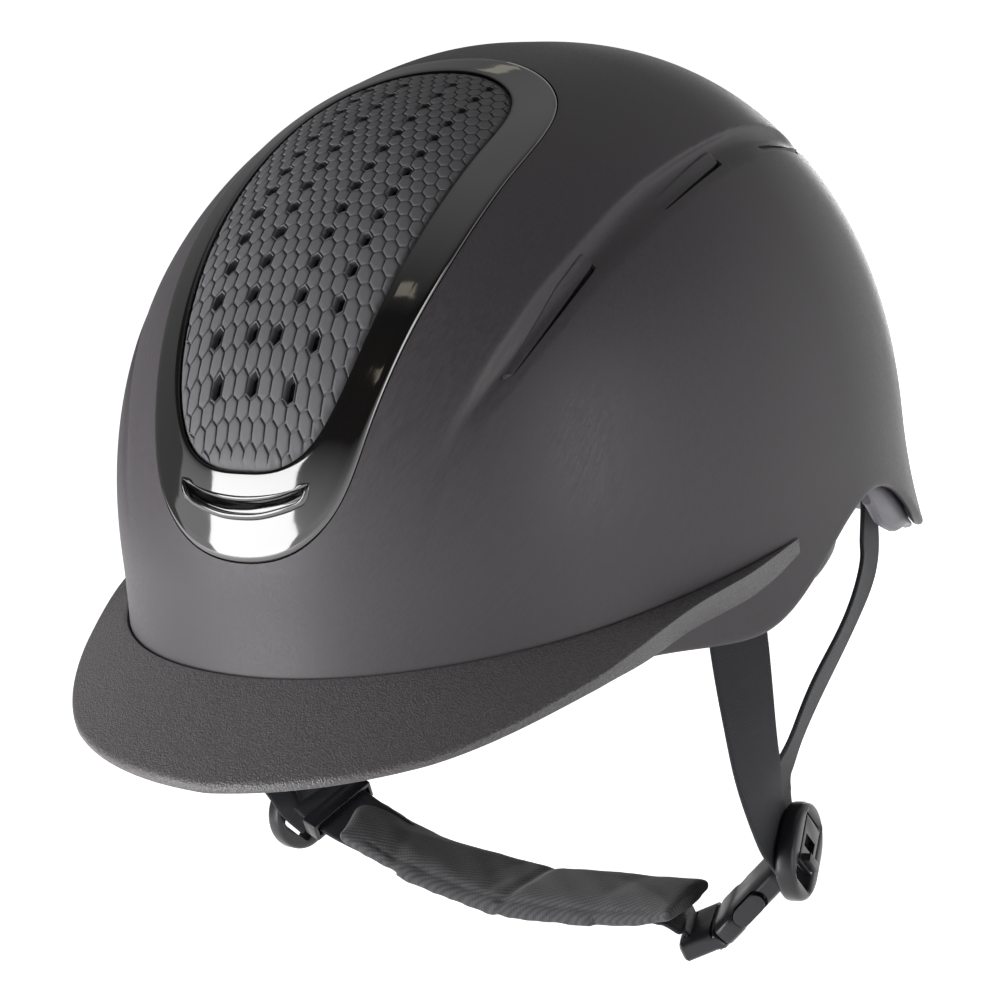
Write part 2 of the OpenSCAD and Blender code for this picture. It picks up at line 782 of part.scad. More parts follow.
// Stations under the chin: [share of the way out to the left divider, y, z, roll]
function spread(stations) = [for (p = stations) [p[0]*divider_side, p[1], p[2], p[3]]];
block_out = [0, 3.4, 6.2];
block_roll = [24, 24, 17];
block_drift = [[0, 0, 0], [0, 0, 0], [-0.4, -0.6, 0]];
chin_path = concat(
    [for (k = [0:2]) concat(block_point(block_out[k]) + block_drift[k], block_roll[k])],
    spread([[0.522, -12, -130.2, -2], [0.423, -13.5, -128, -12], [0.17, -13.5, -128.7, -13],
        [-0.081, -13.5, -128.8, -12], [-0.279, -13.5, -125.2, -9], [-0.473, -13.7, -120.5, -10],
        [-0.689, -14.2, -112, -24], [-0.797, -13, -107.8, -30], [-0.901, -9.6, -104.6, -26]]));
module chin_strap() {
    color("black")
        ribbon(chin_path, web_w, web_t, [0, 1, 0], 55);
}
chin_pad_path = spread([[0.607, -13.5, -125.4, -4], [0.423, -13.5, -127.6, -12],
    [0.17, -13.5, -128.7, -13], [-0.081, -13.5, -128.8, -12], [-0.279, -13.5, -125.2, -9],
    [-0.473, -13.5, -120.3, -4], [-0.698, -13.4, -111, -2]]);
pad_sides = 12;
pad_steps = 30;
sleeve_gap = 0.3;
module chin_pad() {
    places = curve(chin_pad_path, pad_steps);
    xyz = [for (p = places) [p[0], p[1], p[2]]];
    color("dimgray")
        difference() {
            lofted([for (k = [0:pad_steps])
                let (d = unit(xyz[min(k + 1, pad_steps)] - xyz[max(k - 1, 0)]),
                    s = unit([0, 1, 0] - d*d[1]),
                    v = cross(d, s),
                    roll = places[k][3],
                    full = 0.72 + 0.28*pow(sin(180*k/pad_steps), 0.4))
                [for (j = [0:pad_sides - 1])
                    let (a = 360*j/pad_sides,
                        u = chin_pad_w/2*sign(cos(a))*pow(abs(cos(a)), 0.7),
                        w = chin_pad_t/2*full*sign(sin(a))*pow(abs(sin(a)), 0.8))
                    xyz[k] + u*(cos(roll)*s + sin(roll)*v) + w*(cos(roll)*v - sin(roll)*s)]]);
            ribbon(chin_path, web_w + 2*sleeve_gap, web_t + 2*sleeve_gap, [0, 1, 0], 55);
        }
}
// Keeper that slides on the chin strap between the pad and the right divider
keeper_l = 6;
keeper_gap = 0.95;
keeper_along = unit([for (k = [0:2]) chin_path[9][k] - chin_path[11][k]]);
module strap_keeper() {
    color("black")
        translate([for (k = [0:2]) chin_path[10][k]])
            rotate([24, -asin(keeper_along[2]), atan2(keeper_along[1], keeper_along[0])])
                difference() {
                    cube([keeper_l, web_w + 4, web_t + 2*keeper_gap + 3], center = true);
                    cube([keeper_l + 3, web_w + 1, web_t + 2*keeper_gap], center = true);
                }
}

// Retention: the dial's pinion draws both head band arms through the nape cradle
house_t = 9;
house_r = 17;
rack_h = 3.2;
tooth_m = 1;
tooth_count = 2*pinion_r/tooth_m;
tooth_pitch = 3.14159265*tooth_m;
addendum = 0.8*tooth_m;
dedendum = 1.15*tooth_m;
cradle_in = 40.5;
cradle_t = 2.4;
house_sunk = 2.1;
house_y = dome(180, -dial_drop, cradle_in - cradle_t)[1] - house_sunk;
rack_y = house_y + 3;
rack_t = house_t - 4.4;
tongue_x = 24;
tongue_w = 8;
tongue_t = 3;
tongue_y = house_y - 4;
cradle_top = 10 - dial_drop;
cradle_low = -6 - dial_drop;
cradle_turn = 34;
house_front = house_y - 0.6;
tongue_l = 24.5;
tongue_z = 16 - dial_drop;

module nape_cradle() {
    color("black")
        difference() {
            union() {
                lofted([for (k = [0:16])
                    let (t = mixed(180 - cradle_turn, 180 + cradle_turn, k/16), out = cradle_in - cradle_t)
                    [dome(t, cradle_top, out), dome(t, cradle_low, out),
                        dome(t, cradle_low, cradle_in), dome(t, cradle_top, cradle_in)]]);
                translate([0, house_front, -dial_drop])
                    rotate([-90, 0, 0])
                        cylinder(r = house_r, h = house_t - 1 + house_y - house_front, $fn = 64);
                for (x = [-1, 1])
                    translate([x*tongue_x - tongue_w/2, tongue_y, tongue_z - tongue_t/2])
                        cube([tongue_w, tongue_l, tongue_t]);
                for (x = [-1, 1])
                    translate([x*tongue_x - tongue_w/2, tongue_y, tongue_z - 8])
                        cube([tongue_w, 2.6, 8]);
            }
            translate([-40, rack_y - 0.2, -dial_drop - pinion_r - dedendum - rack_h])
                cube([80, rack_t + 0.4 + 3, 2*(pinion_r + dedendum + rack_h) + 0.4]);
        }
}
module dial_cover() {
    color("black")
        translate([0, house_y + house_t - 1, -dial_drop])
            rotate([-90, 0, 0])
                difference() {
                    cylinder(r = house_r, h = 2, $fn = 64);
                    translate([0, 0, -1])
                        cylinder(r = 3 + run_gap, h = 4, $fn = 48);
                    for (a = [45, 135, 225, 315])
                        rotate(a)
                            translate([house_r - 3, 0, -1])
                                cylinder(r = 1.1, h = 4, $fn = 24);
                }
}
module cover_screws() {
    color("silver")
        translate([0, house_y + house_t - 1, -dial_drop])
            rotate([-90, 0, 0])
                for (a = [45, 135, 225, 315])
                    rotate(a)
                        translate([house_r - 3, 0, 2]) {
                            cylinder(r = 1.8, h = 0.8, $fn = 24);
                            translate([0, 0, -2])
                                cylinder(r = 1.05, h = 2, $fn = 24);
                        }
}
dial_y = house_y + house_t + 1 + 1.1;
module size_dial() {
    color("black")
        translate([0, dial_y, -dial_drop])
            rotate([-90, 0, 0])
                difference() {
                    cylinder(r = dial_r, h = dial_t, $fn = 96);
                    for (a = [0:15:345])
                        rotate(a)
                            translate([dial_r + 0.6, 0, -1])
                                cylinder(r = 1.5, h = dial_t + 2, $fn = 24);
                    translate([0, 0, dial_t - 1.5])
                        cylinder(r = dial_r - 4, h = 2, $fn = 64);
                }
}
module dial_pinion() {
    color("dimgray")
        translate([0, rack_y, -dial_drop])
            rotate([-90, 0, 0]) {
                linear_extrude(height = rack_t)
                    pinion_outline();
                cylinder(r = 3, h = dial_y - rack_y, $fn = 48);
            }
}
module pinion_outline() {
    step = 360/tooth_count;
    root = pinion_r - dedendum;
    tip = pinion_r + addendum;
    polygon([for (k = [0:tooth_count - 1])
        each [for (p = [[root, -0.3], [tip, -0.085], [tip, 0.085], [root, 0.3]])
            p[0]*[cos(90 + (k + p[1])*step), sin(90 + (k + p[1])*step)]]]);
}

// Rack below or above the pinion, with its arm led forward and up to the temple: [x, y, rise, 0]
arm_root_x = 30;
temple_x = shell_w/2 - 31;
left_arm = [[arm_root_x, house_y + 5, 0, 0], [37, house_y + 3.5, 5, 0], [46, house_y - 2, 14, 0],
    [55, house_y - 14, 23, 0], [temple_x - 9, house_y - 33, 31, 0],
    [temple_x - 2, house_y - 55, 41, 0], [temple_x, house_y - 73, 46, 0]];
right_arm = [[arm_root_x, house_y + 5, 0, 0], [40, house_y + 2.5, 1, 0], [54, house_y - 9, 7, 0],
    [temple_x - 7, house_y - 33, 20, 0], [temple_x - 1, house_y - 55, 33, 0],
    [temple_x, house_y - 73, 40, 0]];
arm_h = 8;
arm_t_band = 2;
module head_band(side) {
    near = pinion_r - addendum;
    back = pinion_r + dedendum;
    teeth = floor(arm_root_x/tooth_pitch) - 1;
    inner_end = house_r - 3 - arm_travel;
    color("black")
        mirror([side < 0 ? 1 : 0, 0, 0])
            translate([0, 0, -dial_drop]) {
                translate([-inner_end, rack_y, side > 0 ? -back - rack_h : back])
                    cube([arm_root_x + inner_end, rack_t, rack_h]);
                for (k = [-1:teeth - 1])
                    translate([(k + 0.5)*tooth_pitch, rack_y, 0])
                        rotate([-90, 0, 0])
                            linear_extrude(height = rack_t)
                                polygon([for (p = [[-0.95, back + 0.3], [-0.3, near], [0.3, near],
                                        [0.95, back + 0.3]])
                                    [p[0]*tooth_m, p[1]*side]]);
                ribbon([for (p = side > 0 ? left_arm : right_arm)
                        p + [0, 0, -side*(back + rack_h/2), 90]],
                    arm_h, arm_t_band, [0, 1, 0], 24);
            }
}
module head_band_left() {
    head_band(1);
}
module head_band_right() {
    head_band(-1);
}
rail_front = house_y + 4;
rail_side = tongue_x + tongue_w/2 + 2;
rail_back = dome(180 - atan(rail_side/rear_reach), tongue_z, shell_t + skirt_gap + skirt_t)[1] - 1.4;
module guide_rails() {
    color("black")
        for (x = [-1, 1])
            translate([x*tongue_x, 0, tongue_z])
                difference() {
                    translate([-tongue_w/2 - 2, rail_front, -tongue_t/2 - 2])
                        cube([tongue_w + 4, rail_back - rail_front, tongue_t + 4]);
                    translate([-tongue_w/2 - 0.2, rail_front - 1, -tongue_t/2 - 0.2])
                        cube([tongue_w + 0.4, 19, tongue_t + 0.4]);
                }
}
module nape_pad() {
    d = cradle_in + pad_gap;
    turn = cradle_turn - 4;
    top = cradle_top - 1;
    low = cradle_low + 1;
    color("dimgray")
        lofted([for (k = [0:14])
            let (t = mixed(180 - turn, 180 + turn, k/14),
                s = (pad_t - 1)*(0.3 + 0.7*pow(sin(180*k/14), 0.4)))
            [dome(t, top, d), dome(t, low, d), dome(t, low + 1.5, d + 0.8*s),
                dome(t, (top + low)/2, d + s), dome(t, top - 1.5, d + 0.8*s)]]);
}

outer_shell();
front_frame();
vent_panel();
peak();
side_vents_left();
side_vents_right();
impact_liner();
nape_skirt();
rim_trim();
brow_pad();
crown_pad();
side_pad_left();
side_pad_right();
strap_anchors();
front_strap_left();
front_strap_right();
rear_strap_left();
rear_strap_right();
divider_left();
divider_right();
divider_lever_left();
divider_lever_right();
socket_strap();
buckle_socket();
buckle_block();
buckle_arm_front();
buckle_arm_rear();
chin_strap();
chin_pad();
strap_keeper();
guide_rails();
nape_cradle();
dial_cover();
cover_screws();
size_dial();
dial_pinion();
head_band_left();
head_band_right();
nape_pad();
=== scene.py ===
import bpy
import bmesh
import math
import numpy as np
from mathutils import Matrix, Vector


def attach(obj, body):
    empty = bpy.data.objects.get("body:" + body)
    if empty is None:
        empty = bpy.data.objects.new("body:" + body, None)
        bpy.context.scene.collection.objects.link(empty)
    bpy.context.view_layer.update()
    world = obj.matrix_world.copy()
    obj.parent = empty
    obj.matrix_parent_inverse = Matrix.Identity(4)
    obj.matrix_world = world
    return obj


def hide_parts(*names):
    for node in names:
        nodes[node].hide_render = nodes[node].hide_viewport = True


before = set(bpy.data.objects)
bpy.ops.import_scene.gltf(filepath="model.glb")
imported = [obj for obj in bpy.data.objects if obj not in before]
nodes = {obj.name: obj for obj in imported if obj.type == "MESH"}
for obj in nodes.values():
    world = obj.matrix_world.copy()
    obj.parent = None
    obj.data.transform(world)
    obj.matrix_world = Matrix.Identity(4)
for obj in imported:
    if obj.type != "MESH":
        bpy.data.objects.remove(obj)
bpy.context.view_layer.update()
mm = 0.001
print("frame loaded:", len(nodes), "nodes")

# the dome that the shell and all its layers follow, in millimetres and degrees
dome = {
    "halfWidth": 104, "frontReach": 158.5, "rearReach": 109.5, "height": 126.5, "back": 24.5,
    "planFront": 2.29, "planRear": 2.06, "archFront": 2.12, "archRear": 1.95, "archSide": 2.33,
    "flare": 0.2, "tailFlare": 0.45, "lean": 3.4, "lowest": -45,
}
rimMarks = [(0, -30), (40, -30), (61, -35.5), (97, -11), (135, -40.5), (180, -45)]


def blended(a, b, f):
    return a + (b - a)*f


def eased(marks, place):
    # eased value between marks of (place, value)
    xs, ys = np.array(marks, float).T
    place = np.asarray(place, float)
    i = np.clip(np.searchsorted(xs, place, side="right") - 1, 0, len(xs) - 2)
    f = np.clip((place - xs[i])/(xs[i + 1] - xs[i]), 0, 1)
    return ys[i] + (ys[i + 1] - ys[i])*f*f*(3 - 2*f)


def curveAt(points, s):
    # smooth curve through points, at places counted in points
    p = np.asarray(points, float)
    s = np.asarray(s, float)
    last = len(p) - 1
    i = np.clip(np.floor(s).astype(int), 0, last - 1)
    f = (s - i).reshape(s.shape + (1,)*(p.ndim - 1))
    a, b, c, d = p[np.maximum(i - 1, 0)], p[i], p[i + 1], p[np.minimum(i + 2, last)]
    return 0.5*(2*b + (c - a)*f + (2*a - 5*b + 4*c - d)*f**2 + (3*b - a - 3*c + d)*f**3)


def curveThrough(points, steps):
    return curveAt(points, np.arange(steps + 1)*(len(points) - 1)/steps)


def smoothAt(marks, place):
    xs, ys = np.array(marks, float).T
    place = np.asarray(place, float)
    i = np.clip(np.searchsorted(xs, place, side="right") - 1, 0, len(xs) - 2)
    return curveAt(ys, i + np.clip((place - xs[i])/(xs[i + 1] - xs[i]), 0, 1))


def folded(turn):
    t = np.mod(turn, 360)
    return np.where(t > 180, 360 - t, t)


def rimZ(turn):
    return eased(rimMarks, folded(turn))


def domeRadius(turn, z, inset):
    c, s = np.cos(np.radians(turn)), np.sin(np.radians(turn))
    front = c >= 0
    n = np.where(front, dome["planFront"], dome["planRear"])
    reach = np.where(front, dome["frontReach"], dome["rearReach"]) - inset
    plan = ((np.abs(s)/(dome["halfWidth"] - inset))**n + (np.abs(c)/reach)**n)**(-1/n)
    q = np.where(front, dome["archFront"], dome["archRear"])*c*c + dome["archSide"]*s*s
    arch = np.maximum(0, 1 - (np.maximum(z, 0)/(dome["height"] - inset))**q)**(1/q)
    widening = dome["flare"] + dome["tailFlare"]*np.minimum(0, c)**2
    flare = 1 + widening*(np.maximum(z, dome["lowest"])/dome["height"])**2
    return plan*np.where(z >= 0, arch, flare)


def domeLean(z, inset):
    return dome["lean"]*(z/(dome["height"] - inset))**2*np.sign(z)


def onDome(turn, z, inset):
    turn, z, inset = np.broadcast_arrays(*[np.asarray(v, float) for v in (turn, z, inset)])
    r = domeRadius(turn, z, inset)
    a = np.radians(turn)
    return np.stack([r*np.sin(a), dome["back"] - r*np.cos(a) - domeLean(z, inset), z], -1)


def outsideDome(p, inset):
    forward = dome["back"] - domeLean(p[..., 2], inset) - p[..., 1]
    turn = np.degrees(np.arctan2(p[..., 0], forward))
    return np.hypot(p[..., 0], forward) > domeRadius(turn, p[..., 2], inset)


def castOnDome(start, direction, inset, near=0, far=220, steps=26):
    # the point of the dome that lies from start along direction
    low, high = np.full(start.shape[:-1], float(near)), np.full(start.shape[:-1], float(far))
    for _ in range(steps):
        half = (low + high)/2
        out = outsideDome(start + half[..., None]*direction, inset)
        low, high = np.where(out, low, half), np.where(out, half, high)
    return start + low[..., None]*direction


def unit(v):
    return v/np.linalg.norm(v, axis=-1, keepdims=True)


def gridFaces(rows, columns, wrapRows=False, wrapColumns=False, start=0):
    r, c = np.meshgrid(np.arange(rows if wrapRows else rows - 1),
                       np.arange(columns if wrapColumns else columns - 1), indexing="ij")
    up, side = (r + 1) % rows, (c + 1) % columns
    quads = [r*columns + c, r*columns + side, up*columns + side, up*columns + c]
    return np.stack(quads, -1).reshape(-1, 4) + start


def makeMesh(name, points, *faceSets):
    mesh = bpy.data.meshes.new(name)
    loops = np.concatenate([np.asarray(f).ravel() for f in faceSets]).astype(np.int32)
    sizes = np.concatenate([np.full(len(f), np.asarray(f).shape[1]) for f in faceSets])
    starts = np.concatenate([[0], np.cumsum(sizes)[:-1]]).astype(np.int32)
    mesh.vertices.add(len(points))
    mesh.vertices.foreach_set("co", (np.asarray(points)*mm).astype(np.float32).ravel())
    mesh.loops.add(len(loops))
    mesh.loops.foreach_set("vertex_index", loops)
    mesh.polygons.add(len(starts))
    mesh.polygons.foreach_set("loop_start", starts)
    mesh.update(calc_edges=True)
    mesh.validate()
    return mesh


def addObject(name, mesh):
    piece = bpy.data.objects.new(name, mesh)
    bpy.context.scene.collection.objects.link(piece)
    return piece


def reshaped(mesh, change):
    shape = bmesh.new()
    shape.from_mesh(mesh)
    change(shape)
    shape.to_mesh(mesh)
    shape.free()


def facingOut(mesh):
    reshaped(mesh, lambda shape: bmesh.ops.recalc_face_normals(shape, faces=shape.faces))


def facingAlong(mesh, direction):
    # the faces of an open sheet agree with each other and look along a direction
    facingOut(mesh)
    if sum(f.normal.dot(direction)*f.area for f in mesh.polygons) < 0:
        mesh.flip_normals()


def applied(piece):
    # the piece's own mesh takes the shape that its modifiers give
    bpy.context.view_layer.update()
    shape = bpy.data.meshes.new_from_object(piece.evaluated_get(bpy.context.evaluated_depsgraph_get()))
    piece.modifiers.clear()
    piece.data = shape
    return piece


def thickened(piece, thickness, offset=-1.0, rounding=0):
    # solid sheet of a thickness, with rounded edges if asked
    solid = piece.modifiers.new("solid", "SOLIDIFY")
    solid.thickness = thickness*mm
    solid.offset = offset
    if rounding:
        bevel = piece.modifiers.new("bevel", "BEVEL")
        bevel.width = rounding*mm
        bevel.segments = 3
        bevel.limit_method = "ANGLE"
        bevel.angle_limit = math.radians(50)
    return applied(piece)


def subdivided(piece):
    division = piece.modifiers.new("subdivision", "SUBSURF")
    division.levels = 1
    return applied(piece)


def cut(piece, cutter):
    boolean = piece.modifiers.new("cut", "BOOLEAN")
    boolean.operation = "DIFFERENCE"
    boolean.object = cutter
    boolean.solver = "EXACT"
    applied(piece)
    bpy.data.objects.remove(cutter)
    return piece


def smoothed(piece, angle=35):
    for polygon in piece.data.polygons:
        polygon.use_smooth = True
    piece.data.set_sharp_from_angle(angle=math.radians(angle))
    return piece


def finished(piece, material, body, slot, *replaced, angle=35):
    smoothed(piece, angle)
    piece.data.materials.clear()
    piece.data.materials.append(material)
    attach(piece, body)
    if replaced:
        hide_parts(*replaced)
    return piece


def loft(name, rings, capped=True):
    # closed skin over rings of equal length
    rings = np.asarray(rings, float)
    m, n = rings.shape[:2]
    points = rings.reshape(-1, 3)
    if not capped:
        mesh = makeMesh(name, points, gridFaces(m, n, wrapRows=True, wrapColumns=True))
    else:
        ends = np.stack([rings[0].mean(0), rings[-1].mean(0)])
        j = np.arange(n)
        first = np.stack([np.full(n, m*n), (j + 1) % n, j], -1)
        last = np.stack([np.full(n, m*n + 1), (m - 1)*n + j, (m - 1)*n + (j + 1) % n], -1)
        mesh = makeMesh(name, np.concatenate([points, ends]),
                        gridFaces(m, n, wrapColumns=True), np.concatenate([first, last]))
    facingOut(mesh)
    return addObject(name, mesh)


def aroundDome(name, turns, lineAt):
    # closed piece along the dome: at each turn a closed line of heights and insets
    rings = []
    for turn in turns:
        line = np.array(lineAt(turn))
        rings.append(onDome(turn, line[:, 0], line[:, 1]))
    return loft(name, rings)


def prism(name, outline, toPoint, near, far):
    # straight solid over a flat outline, between two distances
    outline = np.asarray(outline, float)
    n = len(outline)
    low, high = toPoint(outline, near), toPoint(outline, far)
    mesh = bpy.data.meshes.new(name)
    faces = [list(range(n)), list(range(n, 2*n))]
    faces += [[k, (k + 1) % n, n + (k + 1) % n, n + k] for k in range(n)]
    mesh.from_pydata([tuple(p*mm) for p in np.concatenate([low, high])], [], faces)
    facingOut(mesh)
    return addObject(name, mesh)


def cornersRounded(line, radii, steps=4):
    # flat line whose corners turn in arcs of the given radii
    line = np.asarray(line, float)
    made = [line[0]]
    for k in range(1, len(line) - 1):
        if not radii[k]:
            made.append(line[k])
            continue
        before, after = line[k - 1] - line[k], line[k + 1] - line[k]
        a, b = np.linalg.norm(before), np.linalg.norm(after)
        r = min(radii[k], 0.45*a, 0.45*b)
        start, end = line[k] + before/a*r, line[k] + after/b*r
        for f in np.linspace(0, 1, steps + 1):
            made.append((1 - f)**2*start + 2*f*(1 - f)*line[k] + f*f*end)
    made.append(line[-1])
    return np.array(made)


# materials: each finish has its own small tree of nodes
def newMaterial(name, color, roughness, **sockets):
    material = bpy.data.materials.new(name)
    material.use_nodes = True
    tree = material.node_tree
    shader = tree.nodes["Principled BSDF"]
    shader.inputs["Base Color"].default_value = (*color, 1)
    shader.inputs["Roughness"].default_value = roughness
    for socket, value in sockets.items():
        shader.inputs[socket.replace("_", " ")].default_value = value
    return material, tree, shader


def addNode(tree, kind, values=None, **settings):
    made = tree.nodes.new("ShaderNode" + kind)
    for key, value in settings.items():
        setattr(made, key, value)
    for socket, value in (values or {}).items():
        if isinstance(value, bpy.types.NodeSocket):
            tree.links.new(value, made.inputs[socket])
        else:
            made.inputs[socket].default_value = value
    return made


def placeIn(tree, scale=(1, 1, 1), rotation=(0, 0, 0), attribute=None):
    if attribute:
        source = addNode(tree, "Attribute", attribute_name=attribute).outputs["Vector"]
    else:
        source = addNode(tree, "TexCoord").outputs["Object"]
    turned = addNode(tree, "Mapping", {"Vector": source, "Scale": scale,
                                       "Rotation": tuple(math.radians(a) for a in rotation)})
    return turned.outputs["Vector"]


def noiseIn(tree, place, scale, detail=3, roughness=0.5):
    return addNode(tree, "TexNoise", {"Vector": place, "Scale": scale, "Detail": detail,
                                      "Roughness": roughness}).outputs["Fac"]


def ranged(tree, value, low, high, fromLow=0, fromHigh=1):
    return addNode(tree, "MapRange", {"Value": value, "From Min": fromLow, "From Max": fromHigh,
                                      "To Min": low, "To Max": high}).outputs["Result"]


def mathIn(tree, operation, a, b=0.0):
    return addNode(tree, "Math", {0: a, 1: b}, operation=operation).outputs[0]


def summed(tree, a, b, share):
    # one value and a share of another
    return mathIn(tree, "ADD", a, mathIn(tree, "MULTIPLY", b, share))


def roughened(tree, shader, value, low, high, fromLow=0, fromHigh=1):
    tree.links.new(ranged(tree, value, low, high, fromLow, fromHigh), shader.inputs["Roughness"])


def tinted(tree, shader, color, value, low, high):
    # colour made darker and lighter by a value
    share = ranged(tree, value, low, high)
    mix = addNode(tree, "VectorMath", {0: color, "Scale": share}, operation="SCALE")
    tree.links.new(mix.outputs["Vector"], shader.inputs["Base Color"])


def bumped(tree, shader, height, distance, strength=1.0, over=None):
    values = {"Height": height, "Distance": distance*mm, "Strength": strength}
    if over is not None:
        values["Normal"] = over
    bump = addNode(tree, "Bump", values).outputs["Normal"]
    tree.links.new(bump, shader.inputs["Normal"])
    return bump


def softTouch(name, color, roughness):
    # rubbery paint with faint slanting wipe marks and a fine tooth
    material, tree, shader = newMaterial(name, color, roughness, Specular_IOR_Level=0.42)
    clouds = noiseIn(tree, placeIn(tree), 18, 3)
    marks = []
    for yaw, pitch in ((46, -37), (70, -52)):
        source = addNode(tree, "TexCoord").outputs["Object"]
        along = addNode(tree, "Mapping", {"Vector": source, "Scale": (0.03, 0.0006, 0.0006),
                                          "Rotation": (0, math.radians(pitch), math.radians(yaw))},
                        vector_type="TEXTURE").outputs["Vector"]
        marks.append(noiseIn(tree, along, 1, 2, 0.6))
    wipes = ranged(tree, mathIn(tree, "ADD", marks[0], marks[1]), 0, 1, 0.8, 1.2)
    tooth = noiseIn(tree, placeIn(tree), 2600, 2)
    toneValue = summed(tree, mathIn(tree, "MULTIPLY", clouds, 0.4), wipes, 0.6)
    tinted(tree, shader, color, toneValue, 0.86, 1.14)
    roughened(tree, shader, wipes, roughness - 0.06, roughness + 0.06)
    fine = bumped(tree, shader, tooth, 0.02, 0.35)
    bumped(tree, shader, wipes, 0.015, 0.5, fine)
    return material


def glossPlastic(name, color, roughness, ior=1.5, **sockets):
    material, tree, shader = newMaterial(name, color, roughness, IOR=ior, **sockets)
    smears = noiseIn(tree, placeIn(tree), 60, 4, 0.6)
    tinted(tree, shader, color, smears, 0.85, 1.15)
    roughened(tree, shader, smears, roughness*0.7, roughness*1.4, 0.3, 0.7)
    bumped(tree, shader, noiseIn(tree, placeIn(tree), 900, 2), 0.01, 0.25)
    return material


def mouldedPlastic(name, color, roughness, grain=0.03):
    # moulded surface with a spark-eroded tooth
    material, tree, shader = newMaterial(name, color, roughness)
    tooth = noiseIn(tree, placeIn(tree), 1900, 3)
    clouds = noiseIn(tree, placeIn(tree), 40, 3)
    tinted(tree, shader, color, clouds, 0.85, 1.15)
    roughened(tree, shader, clouds, roughness - 0.06, roughness + 0.06, 0.3, 0.7)
    bumped(tree, shader, tooth, grain, 0.7)
    return material


def leatherGrain(name, color, roughness, cell=0.75):
    # close pebble grain, its colour lighter on the pebble tops as a painted highlight and darker between
    # them as painted shade
    material, tree, shader = newMaterial(name, color, roughness, Specular_IOR_Level=0.8)
    place = placeIn(tree)
    warp = noiseIn(tree, place, 700, 2)
    pebble = addNode(tree, "TexVoronoi", {"Vector": place, "Scale": 1000/cell, "Randomness": 1.0},
                     feature="SMOOTH_F1")
    pebble.inputs["Smoothness"].default_value = 0.4
    height = ranged(tree, pebble.outputs["Distance"], 1, 0, 0.1, 0.75)
    clouds = noiseIn(tree, placeIn(tree), 30, 4)
    both = mathIn(tree, "MULTIPLY", height, ranged(tree, warp, 0.45, 1.3, 0.3, 0.7))
    # colour value: painted highlight on the pebble tops and painted shade in the hollows, with a random
    # tone over it
    toneValue = mathIn(tree, "MULTIPLY", both, ranged(tree, clouds, 0.85, 1.15))
    tinted(tree, shader, color, toneValue, 0.75, 1.45)
    roughened(tree, shader, both, roughness + 0.12, roughness - 0.08)
    bumped(tree, shader, both, 0.16, 0.9)
    return material


def yarnRows(tree, a, b, lean, pitch):
    # rows of yarn that follow each other along a, and lean along b
    slope = summed(tree, a, b, lean)
    return mathIn(tree, "SINE", mathIn(tree, "MULTIPLY", slope, 2*math.pi/pitch))


def wovenBand(name, color, pitch=0.85, slant=1.0, roughness=0.62, sheen=0.12):
    # narrow-woven band: slanting ribs of yarn, each with its own crossings
    material, tree, shader = newMaterial(name, color, roughness, Sheen_Weight=sheen, Sheen_Roughness=0.4,
                                         Specular_IOR_Level=0.35)
    place = addNode(tree, "SeparateXYZ", {"Vector": placeIn(tree, attribute="weave")})
    u, v = place.outputs["X"], place.outputs["Y"]
    ribs = yarnRows(tree, u, v, slant, pitch)
    picks = yarnRows(tree, v, u, -0.15, pitch/1.3)
    weave = mathIn(tree, "MULTIPLY", ranged(tree, ribs, 0, 1, -1, 1), ranged(tree, picks, 0.55, 1, -1, 1))
    fuzz = noiseIn(tree, placeIn(tree), 1500, 3)
    wear = noiseIn(tree, placeIn(tree), 90, 3)
    height = summed(tree, weave, fuzz, 0.35)
    # colour value: painted shade in the hollows of the weave and a painted highlight on its ribs, with
    # random wear over it
    toneValue = mathIn(tree, "MULTIPLY", height, ranged(tree, wear, 0.8, 1.2))
    tinted(tree, shader, color, toneValue, 0.55, 1.35)
    bumped(tree, shader, height, 0.16, 0.8)
    return material


def twillCloth(name, color, pitch=1.25, roughness=0.8, sheen=0.2, depth=0.14):
    # padded twill: slanting rows broken by the crossing yarn, and a soft nap
    material, tree, shader = newMaterial(name, color, roughness, Sheen_Weight=sheen, Sheen_Roughness=0.5,
                                         Specular_IOR_Level=0.25)
    place = addNode(tree, "SeparateXYZ", {"Vector": placeIn(tree, attribute="weave")})
    u, v = place.outputs["X"], place.outputs["Y"]
    drift = mathIn(tree, "MULTIPLY", noiseIn(tree, placeIn(tree), 260, 2), 2.2)
    turn = 2*math.pi/pitch
    slope = summed(tree, mathIn(tree, "MULTIPLY", v, turn), u, turn*0.42)
    rows = mathIn(tree, "SINE", mathIn(tree, "ADD", slope, drift))
    cross = mathIn(tree, "SINE", mathIn(tree, "ADD", mathIn(tree, "MULTIPLY", u, turn*1.5), drift))
    weave = mathIn(tree, "MULTIPLY", ranged(tree, rows, 0, 1, -1, 1), ranged(tree, cross, 0.35, 1, -1, 1))
    nap = noiseIn(tree, placeIn(tree), 1200, 4, 0.65)
    wear = noiseIn(tree, placeIn(tree), 60, 3)
    height = summed(tree, weave, nap, 0.7)
    # colour value: painted shade in the hollows of the twill and a painted highlight on its rows, with
    # random wear over it
    toneValue = mathIn(tree, "MULTIPLY", height, ranged(tree, wear, 0.75, 1.25))
    tinted(tree, shader, color, toneValue, 0.5, 1.4)
    bumped(tree, shader, height, depth, 0.8)
    return material


